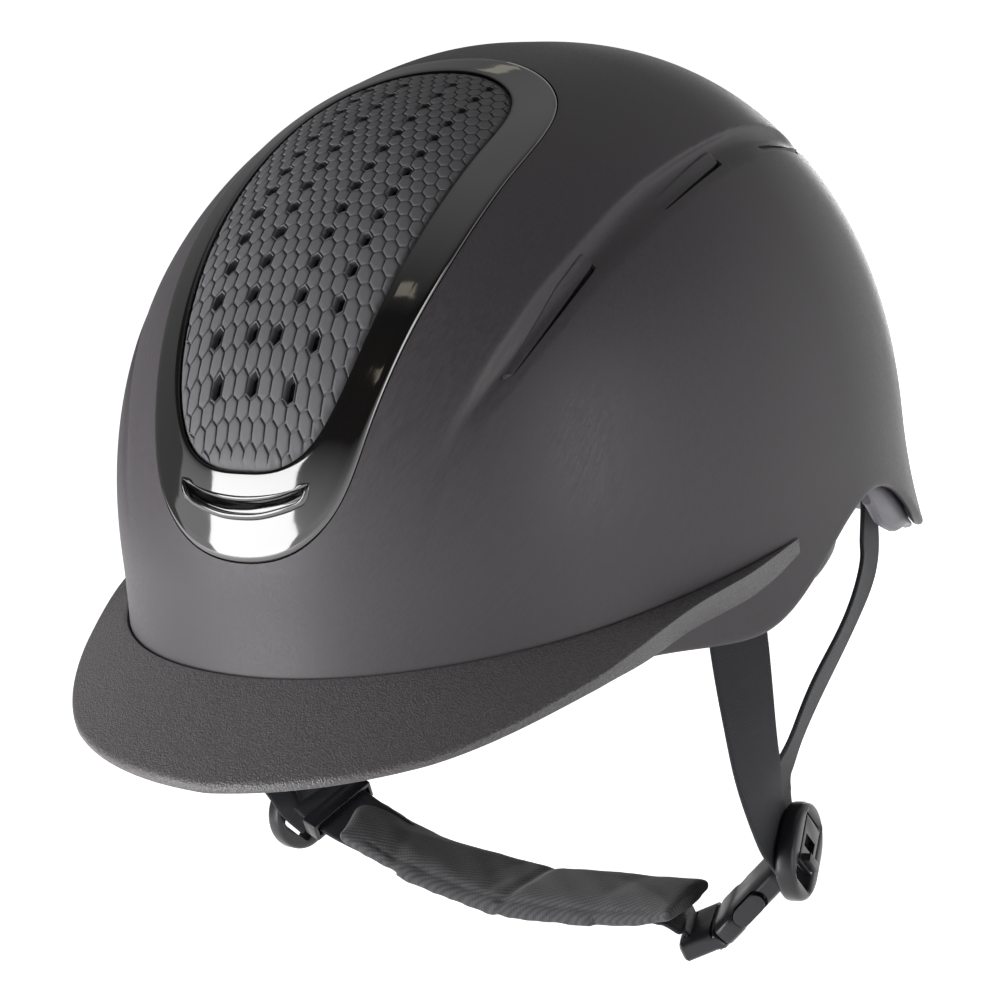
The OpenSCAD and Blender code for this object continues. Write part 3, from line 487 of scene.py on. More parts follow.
def knitCloth(name, color):
    material, tree, shader = newMaterial(name, color, 0.88, Sheen_Weight=0.4, Sheen_Roughness=0.5,
                                         Specular_IOR_Level=0.2)
    place = placeIn(tree, (1, 1, 0.7))
    loops = addNode(tree, "TexVoronoi", {"Vector": place, "Scale": 1250, "Randomness": 0.25},
                    feature="F1").outputs["Distance"]
    nap = noiseIn(tree, placeIn(tree), 500, 4, 0.6)
    height = mathIn(tree, "SUBTRACT", nap, mathIn(tree, "MULTIPLY", loops, 0.8))
    # colour painted darker between the knit loops as painted shade, and varied at random by the nap
    tinted(tree, shader, color, ranged(tree, height, 0, 1, -0.4, 0.7), 0.65, 1.3)
    bumped(tree, shader, height, 0.18, 0.7)
    return material


def beadFoam(name, color):
    # moulded foam: pressed beads with fine seams between them
    material, tree, shader = newMaterial(name, color, 0.72, Specular_IOR_Level=0.3)
    beads = addNode(tree, "TexVoronoi", {"Vector": placeIn(tree), "Scale": 330, "Randomness": 0.9},
                    feature="DISTANCE_TO_EDGE").outputs["Distance"]
    pores = noiseIn(tree, placeIn(tree), 1400, 3)
    seams = ranged(tree, beads, 0, 1, 0, 0.12)
    height = summed(tree, seams, pores, 0.3)
    tinted(tree, shader, color, height, 0.6, 1.2)
    bumped(tree, shader, height, 0.15, 0.8)
    return material


def brushedSteel(name):
    material, tree, shader = newMaterial(name, (0.6, 0.6, 0.61), 0.34, Metallic=1.0)
    lines = noiseIn(tree, placeIn(tree, (300, 3000, 300)), 1, 3)
    roughened(tree, shader, lines, 0.25, 0.45, 0.3, 0.7)
    tinted(tree, shader, (0.6, 0.6, 0.61), lines, 0.85, 1.15)
    bumped(tree, shader, lines, 0.01, 0.4)
    return material


finish = {
    "shell": softTouch("shellSoftTouch", (0.068, 0.062, 0.0675), 0.46),
    "frame": glossPlastic("blackChrome", (0.005, 0.0043, 0.004), 0.06, 2.15),
    "panel": mouldedPlastic("panelRubber", (0.125, 0.123, 0.13), 0.62, 0.02),
    "peak": leatherGrain("peakGrain", (0.094, 0.088, 0.092), 0.34, 0.6),
    "foam": beadFoam("beadFoam", (0.028, 0.028, 0.031)),
    "skirt": mouldedPlastic("skirtSatin", (0.20, 0.19, 0.22), 0.4, 0.01),
    "trim": knitCloth("trimCloth", (0.022, 0.022, 0.026)),
    "pad": knitCloth("padKnit", (0.05, 0.05, 0.055)),
    "webbing": wovenBand("webbingTwill", (0.013, 0.0135, 0.018)),
    "chinPad": twillCloth("chinTwill", (0.078, 0.075, 0.079)),
    "hardware": glossPlastic("hardwareGloss", (0.013, 0.012, 0.015), 0.3, 1.5),
    "fitting": mouldedPlastic("fittingSatin", (0.03, 0.03, 0.032), 0.45),
    "dial": mouldedPlastic("dialGrip", (0.035, 0.035, 0.037), 0.6, 0.05),
    "steel": brushedSteel("screwSteel"),
}
print("materials made:", len(finish))

# the vent frame's plane leans back: u runs to the wearer's left, v up the plane
frontLean = 48
frontUp = np.array([0, math.cos(math.radians(frontLean)), math.sin(math.radians(frontLean))])
frontOut = np.array([0, -math.sin(math.radians(frontLean)), math.cos(math.radians(frontLean))])
ventFrame = {
    "outline": [(0, 96.5), (25, 91), (42, 76.5), (48, 42), (46.5, 10), (42, -20), (36.5, -47),
                (30.2, -65), (18, -77), (0, -81)],
    "panel": [(0, 87), (21, 81.7), (32.5, 71), (36.3, 50), (36, 25), (34, 0), (31, -22),
              (26, -42), (19.5, -53), (10, -58.2), (0, -59)],
    "gap": 0.3, "wall": 3.2, "points": 180,
    "section": [(0, -3.2), (0, -0.1), (0.12, 0.28), (0.5, 0.52), (1.1, 0.62), (2.6, 0.58), (4.5, 0.5)],
    "innerSection": [(2.2, 0.46), (1.0, 0.42), (0.45, 0.3), (0.12, 0.08), (0, -0.4), (0, -3.2)],
}
slot = {
    "halfWidth": 21.8, "lip": 0.8, "floor": 1.4,
    "top": [(-1, -61.3), (-0.53, -65.2), (0, -66.6), (0.53, -65.2), (1, -61.3)],
    "low": [(0.98, -62.4), (0.87, -66.2), (0.4, -69.6), (0, -70.4), (-0.4, -69.6), (-0.87, -66.2),
            (-0.98, -62.4)],
    # the lip is heavier below a height and past a half width
    "light": 0.25, "heavyBelow": -63.5, "heavyOver": 4, "heavyPast": 19, "lipSides": 10,
}


def frontPoint(uv, depth):
    uv = np.asarray(uv, float)
    return uv[..., :1]*np.array([1, 0, 0]) + uv[..., 1:2]*frontUp + np.asarray(depth)*frontOut


def onFront(uv, inset):
    return castOnDome(frontPoint(uv, 0), frontOut, inset, 20, 220)


def bothSides(half, steps):
    # evenly smooth closed curve through a half outline and its mirror image
    p = np.array(half, float)
    p = np.concatenate([p, p[-2:0:-1]*[-1, 1]])
    n = len(p)
    h = np.linalg.norm(np.roll(p, -1, 0) - p, axis=1)
    before = np.roll(h, 1)
    rows = np.zeros((n, n))
    k = np.arange(n)
    rows[k, k] = 2*(h + before)
    rows[k, (k + 1) % n] += h
    rows[k, k - 1] += before
    slope = (np.roll(p, -1, 0) - p)/h[:, None]
    bend = np.linalg.solve(rows, 6*(slope - np.roll(slope, 1, 0)))
    start = np.concatenate([[0], np.cumsum(h)])
    place = np.arange(2*steps)*start[-1]/(2*steps)
    i = np.clip(np.searchsorted(start, place, side="right") - 1, 0, n - 1)
    t, w = (place - start[i])[:, None], h[i][:, None]
    a, b = bend[i], bend[(i + 1) % n]
    return (a*(w - t)**3 + b*t**3)/(6*w) + (p[i]/w - a*w/6)*(w - t) + (p[(i + 1) % n]/w - b*w/6)*t


def outwardOf(loop):
    # unit vectors in the plane that point away from a closed line
    along = unit(np.roll(loop, -1, 0) - np.roll(loop, 1, 0))
    away = np.stack([along[:, 1], -along[:, 0]], -1)
    area = np.sum(loop[:, 0]*np.roll(loop[:, 1], -1) - loop[:, 1]*np.roll(loop[:, 0], -1))
    return away if area > 0 else -away


frameLine = bothSides(ventFrame["outline"], ventFrame["points"])
panelLine = bothSides(ventFrame["panel"], ventFrame["points"])

# the channel down each side, laid out in a plane that slopes at 45 degrees: a runs back, b up
groove = {
    "lip": [(-122.6, -19.5), (-112.7, -11), (-106, -6.6), (-97, -3), (-87.5, 0.7), (-73.5, 5.9),
            (-61.5, 8.9), (-48.5, 12), (-36.5, 14.8), (-22.5, 17.2), (-5.5, 18.6), (10.5, 19.6),
            (28.5, 20.3), (62, 18.5), (100, 12)],
    "crease": [(-118, -28), (-109.3, -17.2), (-103.6, -12.8), (-94.5, -10.4), (-86.5, -8.9),
               (-77.5, -6.6), (-69.5, -4.7), (-58.5, -2.3), (-47.5, -0.1), (-36.5, 1.8), (-22.5, 3.9),
               (-3.5, 6.4), (15.5, 8.1), (30.5, 8.7), (62.5, 9.2), (100, 7)],
    "depth": [(-122, 0), (-104, 0.9), (-88, 2.1), (-60, 2.7), (0, 2.8), (50, 2.5), (98, 0)],
    "section": [(0, 0), (0.08, 0.1), (0.3, 0.66), (0.5, 0.95), (0.66, 1), (0.85, 0.62), (0.96, 0.16),
                (1, 0)],
}
# each vent's two ends, its height and how far its upper edge stays away from the lower one in front
sideVents = [((-87.5, -5.2), (-53.5, 4.6), 4.6, -0.5), ((-18.5, 8.6), (13, 13.1), 4.4, 0.6),
             ((40, 11.4), (61.5, 9.4), 3, 0.6)]


def sidePoint(ab, depth):
    ab = np.asarray(ab, float)
    h = math.sqrt(0.5)
    b, d = ab[..., 1], np.asarray(depth)
    return np.stack([(d - b)*h, ab[..., 0], (d + b)*h], -1)


def grooveDepth(p):
    # how far the channel lies below the dome at points of its surface
    a, b = p[..., 1], (p[..., 2] - np.abs(p[..., 0]))*math.sqrt(0.5)
    lipX, lipY = np.array(groove["lip"]).T
    lowX, lowY = np.array(groove["crease"]).T
    lip, low = np.interp(a, lipX, lipY), np.interp(a, lowX, lowY)
    share = np.clip((lip - b)/(lip - low), 0, 1)
    sectionX, sectionY = np.array(groove["section"]).T
    form = curveAt(sectionY, np.interp(share, sectionX, np.arange(len(sectionX))))
    return np.maximum(0, form)*eased(groove["depth"], a)


def domeSkin(name, rings, outerTop, innerTop):
    # closed skin over rings that run down the outside of a layer and up its inside
    rings = np.array(rings)
    m, n = rings.shape[:2]
    crown = dome["back"] - dome["lean"]
    poles = [[0, crown, outerTop], [0, crown, innerTop]]
    j = np.arange(n)
    first = np.stack([np.full(n, m*n), j, (j + 1) % n], -1)
    last = np.stack([np.full(n, m*n + 1), (m - 1)*n + (j + 1) % n, (m - 1)*n + j], -1)
    mesh = makeMesh(name, np.concatenate([rings.reshape(-1, 3), poles]),
                    gridFaces(m, n, wrapColumns=True), np.concatenate([first, last]))
    facingOut(mesh)
    return addObject(name, mesh)


def quarterSteps(low, high, steps):
    # heights from high down to low, closer together at the top
    return [blended(low, high, math.cos(math.pi/2*k/steps)) for k in range(1, steps + 1)]


shell = {"wall": 3.2, "turns": 640, "rows": 190, "innerRows": 40, "edgeRadius": 1.6, "ventGap": 0.25,
         "frontCut": (40, 200), "sideCut": (60, 160)}


def buildShell():
    turns = np.arange(shell["turns"])*360/shell["turns"]
    rim = rimZ(turns)
    r = shell["edgeRadius"]
    rings = []
    for z in quarterSteps(rim + r, dome["height"], shell["rows"]):
        rings.append(onDome(turns, z, grooveDepth(onDome(turns, z, 0))))
    for a in np.radians([30, 60, 90, 120, 150, 180]):
        rings.append(onDome(turns, rim + r*(1 - math.sin(a)), r*(1 - math.cos(a))))
    top = dome["height"] - shell["wall"]
    upward = quarterSteps(rim + r, top, shell["innerRows"])[-2::-1]
    rings += [onDome(turns, z, shell["wall"]) for z in upward]
    piece = domeSkin("shell", rings, dome["height"], top)
    opening = frameLine + outwardOf(frameLine)*ventFrame["gap"]
    cut(piece, prism("opening", opening, frontPoint, *shell["frontCut"]))
    for side in (1, -1):
        for start, end, height, front in sideVents:
            outline = openingOutline(start, end, height/2 + shell["ventGap"], front)
            inPlace = lambda ab, d: sidePoint(ab, d)*[side, 1, 1]
            cut(piece, prism("slot", outline, inPlace, *shell["sideCut"]))
    return finished(piece, finish["shell"], "helmet", "shell_soft_touch", "outer_shell", angle=40)


def bladeEdges(length, r, front, columns):
    # places along a side vent, and its upper and lower edge there: narrow in front, square behind
    f = np.linspace(0, 1, columns)
    s = blended(-r, length + r, f)
    over = np.clip(np.maximum(-s, s - length)/r, 0, 1)
    half = r*(1 - over**3)**(1/3)
    return f, s, half*blended(front, 1, np.minimum(1, f*1.5)**0.8), -half


def openingOutline(start, end, r, front):
    start, end = np.array(start, float), np.array(end, float)
    run = unit(end - start)
    up = np.array([-run[1], run[0]])
    f, s, top, low = bladeEdges(np.linalg.norm(end - start), r, front, 40)
    upper = start + s[:, None]*run + top[:, None]*up
    lower = start + s[1:-1, None]*run + low[1:-1, None]*up
    return np.concatenate([upper, lower[::-1]])


def ventOutline(start, end, r, steps=14):
    start, end = np.array(start, float), np.array(end, float)
    run = math.atan2(end[1] - start[1], end[0] - start[0])
    arc = np.linspace(-math.pi/2, math.pi/2, steps)
    far = end + r*np.stack([np.cos(run + arc), np.sin(run + arc)], -1)
    near = start - r*np.stack([np.cos(run + arc), np.sin(run + arc)], -1)
    return np.concatenate([far, near])


buildShell()
print("shell made")


def buildVentFrame():
    n = len(frameLine)
    inner = panelLine + outwardOf(panelLine)*ventFrame["gap"]
    fromOuter, fromInner = outwardOf(frameLine), outwardOf(inner)
    section, innerSection = ventFrame["section"], ventFrame["innerSection"]
    lines = [(frameLine - fromOuter*distance, height) for distance, height in section]
    start, end = lines[-1][0], inner + fromInner*innerSection[0][0]
    for f in np.linspace(0, 1, 10)[1:-1]:
        lines.append((blended(start, end, f), blended(section[-1][1], innerSection[0][1], f)))
    lines += [(inner + fromInner*distance, height) for distance, height in innerSection]
    rings = np.array([onFront(line, np.full(n, -height)) for line, height in lines])
    piece = loft("ventFrame", rings, capped=False)
    top = curveThrough(slot["top"], 24)*[slot["halfWidth"], 1]
    low = curveThrough(slot["low"], 28)*[slot["halfWidth"], 1]
    loop = np.concatenate([top, low])
    cut(piece, prism("slotCutter", loop, frontPoint, 60, 200))
    finished(piece, finish["frame"], "helmet", "frame_gloss", "front_frame", angle=50)
    buildSlotLip(loop)


def buildSlotLip(loop):
    # raised lip round the slot, heavier along its lower side and its two ends
    side = outwardOf(loop)
    below = (slot["heavyBelow"] - loop[:, 1])/slot["heavyOver"]
    ends = np.abs(loop[:, 0]) > slot["heavyPast"]
    r = slot["lip"]*blended(slot["light"], 1, np.clip(below + ends, 0, 1))
    rings = []
    for k in range(slot["lipSides"]):
        a = 2*math.pi*k/slot["lipSides"]
        uv = loop + side*(r*(0.35 + np.cos(a)))[:, None]
        rings.append(onFront(uv, -0.5 - r*math.sin(a)))
    lip = loft("ventFrameLip", np.array(rings), capped=False)
    finished(lip, finish["frame"], "helmet", "frame_gloss", angle=80)


def buildTrough():
    # glossy trough behind the slot
    upper, lower = curveThrough(slot["top"], 40), curveThrough(slot["low"][::-1], 40)
    rows = []
    for f in np.linspace(0, 1, 9):
        row = blended(upper, lower, f)*[slot["halfWidth"], 1]
        rows.append(onFront(row, np.full(len(row), slot["floor"] - 1.5*abs(2*f - 1)**2.5)))
    mesh = makeMesh("ventFrameTrough", np.reshape(rows, (-1, 3)), gridFaces(9, len(upper)))
    trough = thickened(addObject("ventFrameTrough", mesh), 0.4)
    finished(trough, finish["frame"], "helmet", "frame_gloss", angle=80)


buildVentFrame()
buildTrough()
print("vent frame made")

honeycomb = {
    "cell": 4.2, "lean": 95, "firstRow": 147.8, "rows": (-6, 38), "columns": 10, "sunk": 0.7,
    "section": [(1.0, 0.0), (0.95, 0.02), (0.905, 0.32), (0.87, 0.52), (0.81, 0.61), (0.5, 0.64)],
    "hole": [(0.76, 0.3), (0.74, -2.0)],
    # below a height the rows are closer together
    "lowStart": 148.6, "lowShare": 0.6,
    # columns with air holes in the lowest rows, and in every second row above them
    "holes": {0: (-3, 0, 3), 2: (-4, -1, 1, 4)}, "moreHoles": (-5, -2, 2, 5), "lastHoleRow": 26,
    "plainBelow": -2, "plainPast": 14, "edgeRoll": (1.4, 0.45), "fade": (0.4, 0.8),
}


def holeColumns(row):
    if row % 2 or not 0 <= row <= honeycomb["lastHoleRow"]:
        return ()
    return honeycomb["holes"].get(row, honeycomb["moreHoles"])


def honeycombCells():
    # places across and along the panel with their heights; of each cell its first and last place,
    # its faces, and whether it stays plain
    w, rowStep = honeycomb["cell"], honeycomb["cell"]*math.sqrt(3)/2
    corner = np.radians(np.arange(30, 390, 60))
    hexagon = np.stack([np.cos(corner), np.sin(corner)], -1)*w/math.sqrt(3)
    hexagon = np.stack([hexagon, (hexagon + np.roll(hexagon, -1, 0))/2], 1).reshape(-1, 2)
    low = honeycomb["plainBelow"]
    places, heights, cells = [], [], []
    for row in range(*honeycomb["rows"]):
        for column in range(-honeycomb["columns"], honeycomb["columns"] + 1):
            x = (column + 0.5*(row % 2))*w
            t = honeycomb["firstRow"] - rowStep*row
            hole = column in holeColumns(row)
            start = len(places)
            section = honeycomb["section"]
            if hole:
                section = section[:4] + honeycomb["hole"]
            for share, height in section:
                for px, pt in hexagon*share:
                    places.append((x + px, t + pt))
                    heights.append(height)
            faces = gridFaces(len(section), 12, wrapColumns=True, start=start).tolist()
            if not hole:
                places.append((x, t))
                heights.append(0.65)
                last = start + (len(section) - 1)*12
                faces += [[last + k, last + (k + 1) % 12, len(places) - 1] for k in range(12)]
            plain = row < low or row == low and abs(x) > honeycomb["plainPast"]
            cells.append((start, len(places), faces, plain))
    return np.array(places), np.array(heights), cells


def insideOutline(uv, outline):
    # which places lie inside a closed line, how far they are from it, and its nearest place
    best, nearest = np.full(len(uv), 1e9), np.zeros_like(uv)
    inside = np.zeros(len(uv), bool)
    for a, b in zip(outline, np.roll(outline, -1, 0)):
        f = np.clip(((uv - a) @ (b - a))/((b - a) @ (b - a)), 0, 1)
        spot = a + f[:, None]*(b - a)
        gap = np.linalg.norm(uv - spot, axis=1)
        closer = gap < best
        best[closer], nearest[closer] = gap[closer], spot[closer]
        crosses = (a[1] > uv[:, 1]) != (b[1] > uv[:, 1])
        inside ^= crosses & (uv[:, 0] < (b[0] - a[0])*(uv[:, 1] - a[1])/(b[1] - a[1] + 1e-12) + a[0])
    return inside, best, nearest


def cellsMerged(shape):
    # one surface out of cells that only touch
    bmesh.ops.remove_doubles(shape, verts=shape.verts, dist=0.02*mm)
    bmesh.ops.dissolve_degenerate(shape, edges=shape.edges, dist=0.005*mm)
    bmesh.ops.delete(shape, geom=[v for v in shape.verts if not v.link_faces], context="VERTS")


def buildPanel():
    lean = math.radians(honeycomb["lean"])
    out = np.array([0, -math.cos(lean), math.sin(lean)])
    along = np.array([0, -math.sin(lean), -math.cos(lean)])
    places, heights, cells = honeycombCells()
    low = honeycomb["lowStart"]
    t = np.where(places[:, 1:] > low, low + (places[:, 1:] - low)*honeycomb["lowShare"], places[:, 1:])
    points = castOnDome(np.array([0, dome["back"], 0]) + places[:, :1]*np.array([1, 0, 0]) + t*along,
                        out, honeycomb["sunk"])
    uv = np.stack([points[:, 0], points @ frontUp], -1)
    inside, best, nearest = insideOutline(uv, panelLine + outwardOf(panelLine)*0.1)
    kept = [f for s, e, faces, bare in cells if inside[s:e].any() or best[s:e].min() < 0.8 for f in faces]
    uv = np.where(inside[:, None], uv, nearest)
    depth = np.where(inside, best, 0)
    # the relief fades out beside the frame
    fade = np.clip((depth - honeycomb["fade"][0])/honeycomb["fade"][1], 0, 1)
    fade = np.where(heights > -1, fade, 1)
    # whole cells only, down to a curved last row: the surface below stays level with their tops
    plain = np.zeros(len(uv), bool)
    middles = []
    for s, e, faces, bare in cells:
        if bare:
            plain[s:e] = True
        elif inside[s:e].any():
            middles.append(places[s:e].mean(0))
    away = np.linalg.norm(places[plain][:, None] - np.array(middles), axis=2).min(1)
    near = away < honeycomb["cell"]/math.sqrt(3) + 0.3
    heights[plain] = np.where(near, heights[plain], honeycomb["section"][-1][1])
    width, roll = honeycomb["edgeRoll"]
    base = roll*(1 - (1 - np.clip(depth/width, 0, 1))**2)
    points = onFront(uv, honeycomb["sunk"] + roll - base - heights*fade)
    mesh = makeMesh("ventPanel", points, *[np.array([f for f in kept if len(f) == n]) for n in (4, 3)])
    reshaped(mesh, cellsMerged)
    facingAlong(mesh, Vector(frontOut))
    piece = addObject("ventPanel", mesh)
    return finished(piece, finish["panel"], "helmet", "panel_rubber", "vent_panel", angle=50)


buildPanel()
print("panel made")


# a blade's laps over the opening's upper edge, its slit in front and behind, and how far it stands out
flap = {"grow": 0.1, "lap": 0.45, "laps": (0.5, 0.1), "below": -0.2, "slit": (0.15, 1.3), "least": 0.3,
        "root": 0.25, "rise": (0.02, 0.5), "rows": 11, "columns": 60, "thickness": 1.6, "rounding": 0.3}


def buildVentFlaps(side, name, node):
    # blades that stand off the channel's floor, with an open slit under each
    made = []
    outward = np.array([1, 0, 1])*math.sqrt(0.5)
    rows = flap["rows"]
    for start, end, height, front in sideVents:
        start, end = np.array(start), np.array(end)
        run = unit(end - start)
        up = np.array([-run[1], run[0]])
        r = height/2 + flap["grow"]
        f, s, top, low = bladeEdges(np.linalg.norm(end - start), r, front, flap["columns"])
        # the slit opens towards the rear
        top = top + flap["lap"]
        low = np.minimum(low + blended(*flap["slit"], f**0.7), top - flap["least"])
        grid = []
        for j in range(rows):
            if j < 2:
                b = top + flap["laps"][j]
            else:
                b = blended(top + flap["below"], low, (j - 2)/(rows - 3))
            rise = blended(*flap["rise"], (j - 1)/(rows - 2)) if j else -flap["root"]
            ray = sidePoint(start + s[:, None]*run + b[:, None]*up, 0)
            surface = castOnDome(ray, outward, 0.0, 30, 160)
            surface = castOnDome(ray, outward, grooveDepth(surface) - rise, 30, 160)
            grid.append(surface*[side, 1, 1])
        mesh = makeMesh(name, np.reshape(grid, (-1, 3)), gridFaces(rows, flap["columns"]))
        facingAlong(mesh, Vector((side, 0, 1)))
        made.append(thickened(addObject(name, mesh), flap["thickness"], rounding=flap["rounding"]))
    return finished(joined(name, made), finish["shell"], "helmet", "vent_matte", node)


def joined(name, pieces):
    # one piece out of several, with one mesh
    shape = bmesh.new()
    for piece in pieces:
        piece.data.transform(piece.matrix_world)
        shape.from_mesh(piece.data)
        bpy.data.objects.remove(piece)
    mesh = bpy.data.meshes.new(name)
    shape.to_mesh(mesh)
    shape.free()
    return addObject(name, mesh)


buildVentFlaps(1, "sideFlapsLeft", "side_vents_left")
buildVentFlaps(-1, "sideFlapsRight", "side_vents_right")
print("side vents made")

peak = {
    "reach": 26.5, "drop": 26, "edge": 3, "turn": 72, "level": -21, "rise": 9, "rootThickness": 8.8,
    # the upper edge rolls down into a gap against the shell
    "seat": 0.25, "roll": 1.1, "rollWidth": 1.0,
    "ridgeReach": [(0, 1), (20, 0.81), (36, 0.5), (48, 0.31), (60, 0.16), (72, 0.03)],
    "ridgeFall": [(0, 0.86), (20, 0.73), (36, 0.37), (48, 0.07), (60, 0.035), (72, 0.02)],
    "edgeReach": [(0, 0.98), (20, 0.79), (36, 0.46), (42, 0.25), (48, 0.055), (60, 0.02),
                  (72, 0.02)],
    "edgeDepth": [(0, 1), (20, 0.85), (36, 1.25), (42, 2.3), (48, 3), (60, 2.85), (66, 2.35), (72, 1.5)],
    "stations": 260,
}


def peakLine(turn):
    # section of the peak at a turn: heights, and insets that are negative outside the dome
    t = abs(turn)
    top = peak["level"] + peak["rise"]*(t/peak["turn"])**1.3
    ridge = max(2*peak["seat"], peak["reach"]*smoothAt(peak["ridgeReach"], t))
    edge = max(1.4*peak["seat"], peak["reach"]*smoothAt(peak["edgeReach"], t))
    zRidge = top - peak["drop"]*smoothAt(peak["ridgeFall"], t)
    zEdge = zRidge - peak["edge"]*smoothAt(peak["edgeDepth"], t)
    zUnder = max(top - peak["rootThickness"], zEdge + 0.4)
    bulge = 0.03*peak["reach"]*math.cos(math.radians(90*t/peak["turn"]))
    root, ridgeAt = np.array([peak["seat"], top]), np.array([ridge, zRidge])
    middle = np.array([ridge/2, (top + zRidge)/2 + bulge])
    upper = [root*(1 - f)*(1 - 2*f) + middle*4*f*(1 - f) + ridgeAt*f*(2*f - 1)
             for f in np.linspace(0, 1, 15)**1.3]
    for point in upper[:-1]:
        near = max(0, 1 - (point[0] - peak["seat"])/peak["rollWidth"])
        point[1] -= peak["roll"]*near**2*min(1, ridge/4)
    line = upper[:-1] + [ridgeAt, np.array([edge, zEdge]), np.array([peak["seat"], zUnder])]
    shape = cornersRounded(line, [0]*14 + [1.3, 1.0, 0], 5)
    under = np.linspace(shape[-2], shape[-1], 10)[1:-1]
    shape = np.concatenate([shape[:-1], under, shape[-1:]])
    return np.stack([shape[:, 1], -shape[:, 0]], -1)


def buildPeak():
    turns = np.linspace(-peak["turn"], peak["turn"], peak["stations"])
    piece = aroundDome("peak", turns, peakLine)
    return finished(piece, finish["peak"], "helmet", "peak_grained", "peak", angle=45)


buildPeak()
print("peak made")

linerGap = 0.5
linerOut = shell["wall"] + linerGap
liner = {"thickness": 21, "trim": 4, "turns": 240, "rows": 48, "archDepth": 11,
         "channels": (-16, 0, 16), "channelHalf": 24, "channelRadius": 4.5, "channelCut": (20, 200)}
linerIn = linerOut + liner["thickness"]


def linerRim(turn):
    return np.where(folded(turn) < 97, rimZ(turn) + liner["trim"], liner["trim"] - liner["archDepth"])


anchors = {"front": ((92.6, -29.5, -16), -15), "rear": ((85.4, 63.5, -2), 27)}
webbing = {"width": 20, "thickness": 1.5}


def atAnchor(points, which, side):
    place, yaw = anchors[which]
    c, s = math.cos(math.radians(yaw)), math.sin(math.radians(yaw))
    p = np.asarray(points, float)
    p = np.stack([c*p[..., 0] - s*p[..., 1], s*p[..., 0] + c*p[..., 1], p[..., 2]], -1) + place
    return p*[side, 1, 1]


def boxPoints(low, high):
    ends = list(zip(low, high))
    return np.array([[x, y, z] for x in ends[0] for y in ends[1] for z in ends[2]])


boxFaces = np.array([[0, 1, 3, 2], [4, 6, 7, 5], [0, 4, 5, 1], [2, 3, 7, 6], [0, 2, 6, 4], [1, 5, 7, 3]])


def boxPiece(name, points):
    mesh = makeMesh(name, points, boxFaces)
    facingOut(mesh)
    return addObject(name, mesh)


# room for a webbing end: inward and outward of it, to its sides, below and above
pocket = {"in": 3.5, "out": 4.5, "side": 2.5, "below": 26, "above": 8}


def pocketCutters():
    half = webbing["width"]/2 + pocket["side"]
    box = boxPoints((-pocket["in"], -half, -pocket["below"]), (pocket["out"], half, pocket["above"]))
    for side in (1, -1):
        for which in anchors:
            yield boxPiece("pocket", atAnchor(box, which, side))


def layerPiece(name, outer, inner, rim, rows, turnCount, roundness=2.5):
    # closed layer of the dome, open at its rim, with a rounded edge
    turns = np.arange(turnCount)*360/turnCount
    low, r = rim(turns), roundness
    tops = dome["height"] - outer, dome["height"] - inner
    rings = [onDome(turns, z, outer) for z in quarterSteps(low + r, tops[0], rows)]
    for a in np.radians([30, 60, 90]):
        rings.append(onDome(turns, low + r*(1 - math.sin(a)), outer + r*(1 - math.cos(a))))
    for a in np.radians([90, 120, 150, 180]):
        rings.append(onDome(turns, low + r*(1 - math.sin(a)), inner - r*(1 + math.cos(a))))
    rings += [onDome(turns, z, inner) for z in quarterSteps(low + r, tops[1], rows)[-2::-1]]
    return domeSkin(name, rings, *tops)


def buildLiner():
    piece = layerPiece("liner", linerOut, linerIn, linerRim, liner["rows"], liner["turns"])
    for cutter in pocketCutters():
        cut(piece, cutter)
    half = liner["channelHalf"]
    for x in liner["channels"]:
        outline = ventOutline((x, -half), (x, half), liner["channelRadius"])
        cut(piece, prism("channel", outline, frontPoint, *liner["channelCut"]))
    return finished(piece, finish["foam"], "helmet", "liner_foam", "impact_liner", angle=40)


buildLiner()
print("liner made")

skirt = {
    "gap": 1.2, "thickness": 3, "kick": 0.8, "start": 99, "stations": 200, "top": -7.3,
    "low": [(99, -16.5), (103, -24.5), (109, -30), (120, -33.5), (134, -41.5), (180, -47)],
}


def skirtLine(turn):
    low = float(smoothAt(skirt["low"], folded(turn)))
    out, t = shell["wall"] + skirt["gap"], skirt["thickness"]
    kick = out - skirt["kick"]
    outer = [(f, out) for f in np.linspace(skirt["top"], low + 5, 8)]
    bend = [(low + 2.6, out - 0.25), (low + 1, kick), (low + 0.3, kick + 0.2), (low, kick + 0.8)]
    inner = [(low, kick + t - 1), (low + 0.5, kick + t - 0.2), (low + 5, out + t)]
    inner += [(f, out + t) for f in np.linspace(low + 5, skirt["top"], 8)[1:]]
    return outer + bend + inner


def buildSkirt():
    turns = np.linspace(skirt["start"], 360 - skirt["start"], skirt["stations"])
    piece = aroundDome("napeSkirt", turns, skirtLine)
    return finished(piece, finish["skirt"], "helmet", "skirt_grey", "nape_skirt", angle=45)


buildSkirt()

trim = {"end": 95, "stations": 260, "top": 3.4, "width": 9.7}


def trimLine(turn):
    w, top = trim["width"], trim["top"]
    line = [(top, 0), (1.6, 0), (0.9, 0.25), (0.35, 0.9), (0.1, 1.8), (0.0, 4), (0.1, w - 3),
            (0.5, w - 1.5), (1.3, w - 0.5), (2.4, w), (top, w)]
    return np.array(line) + [float(rimZ(turn)), linerOut + 0.3]


def buildTrim():
    turns = np.linspace(-trim["end"], trim["end"], trim["stations"])
    piece = aroundDome("rimTrim", turns, trimLine)
    for cutter in pocketCutters():
        cut(piece, cutter)
    return finished(piece, finish["trim"], "helmet", "trim_fabric", "rim_trim", angle=50)


buildTrim()
print("skirt and trim made")


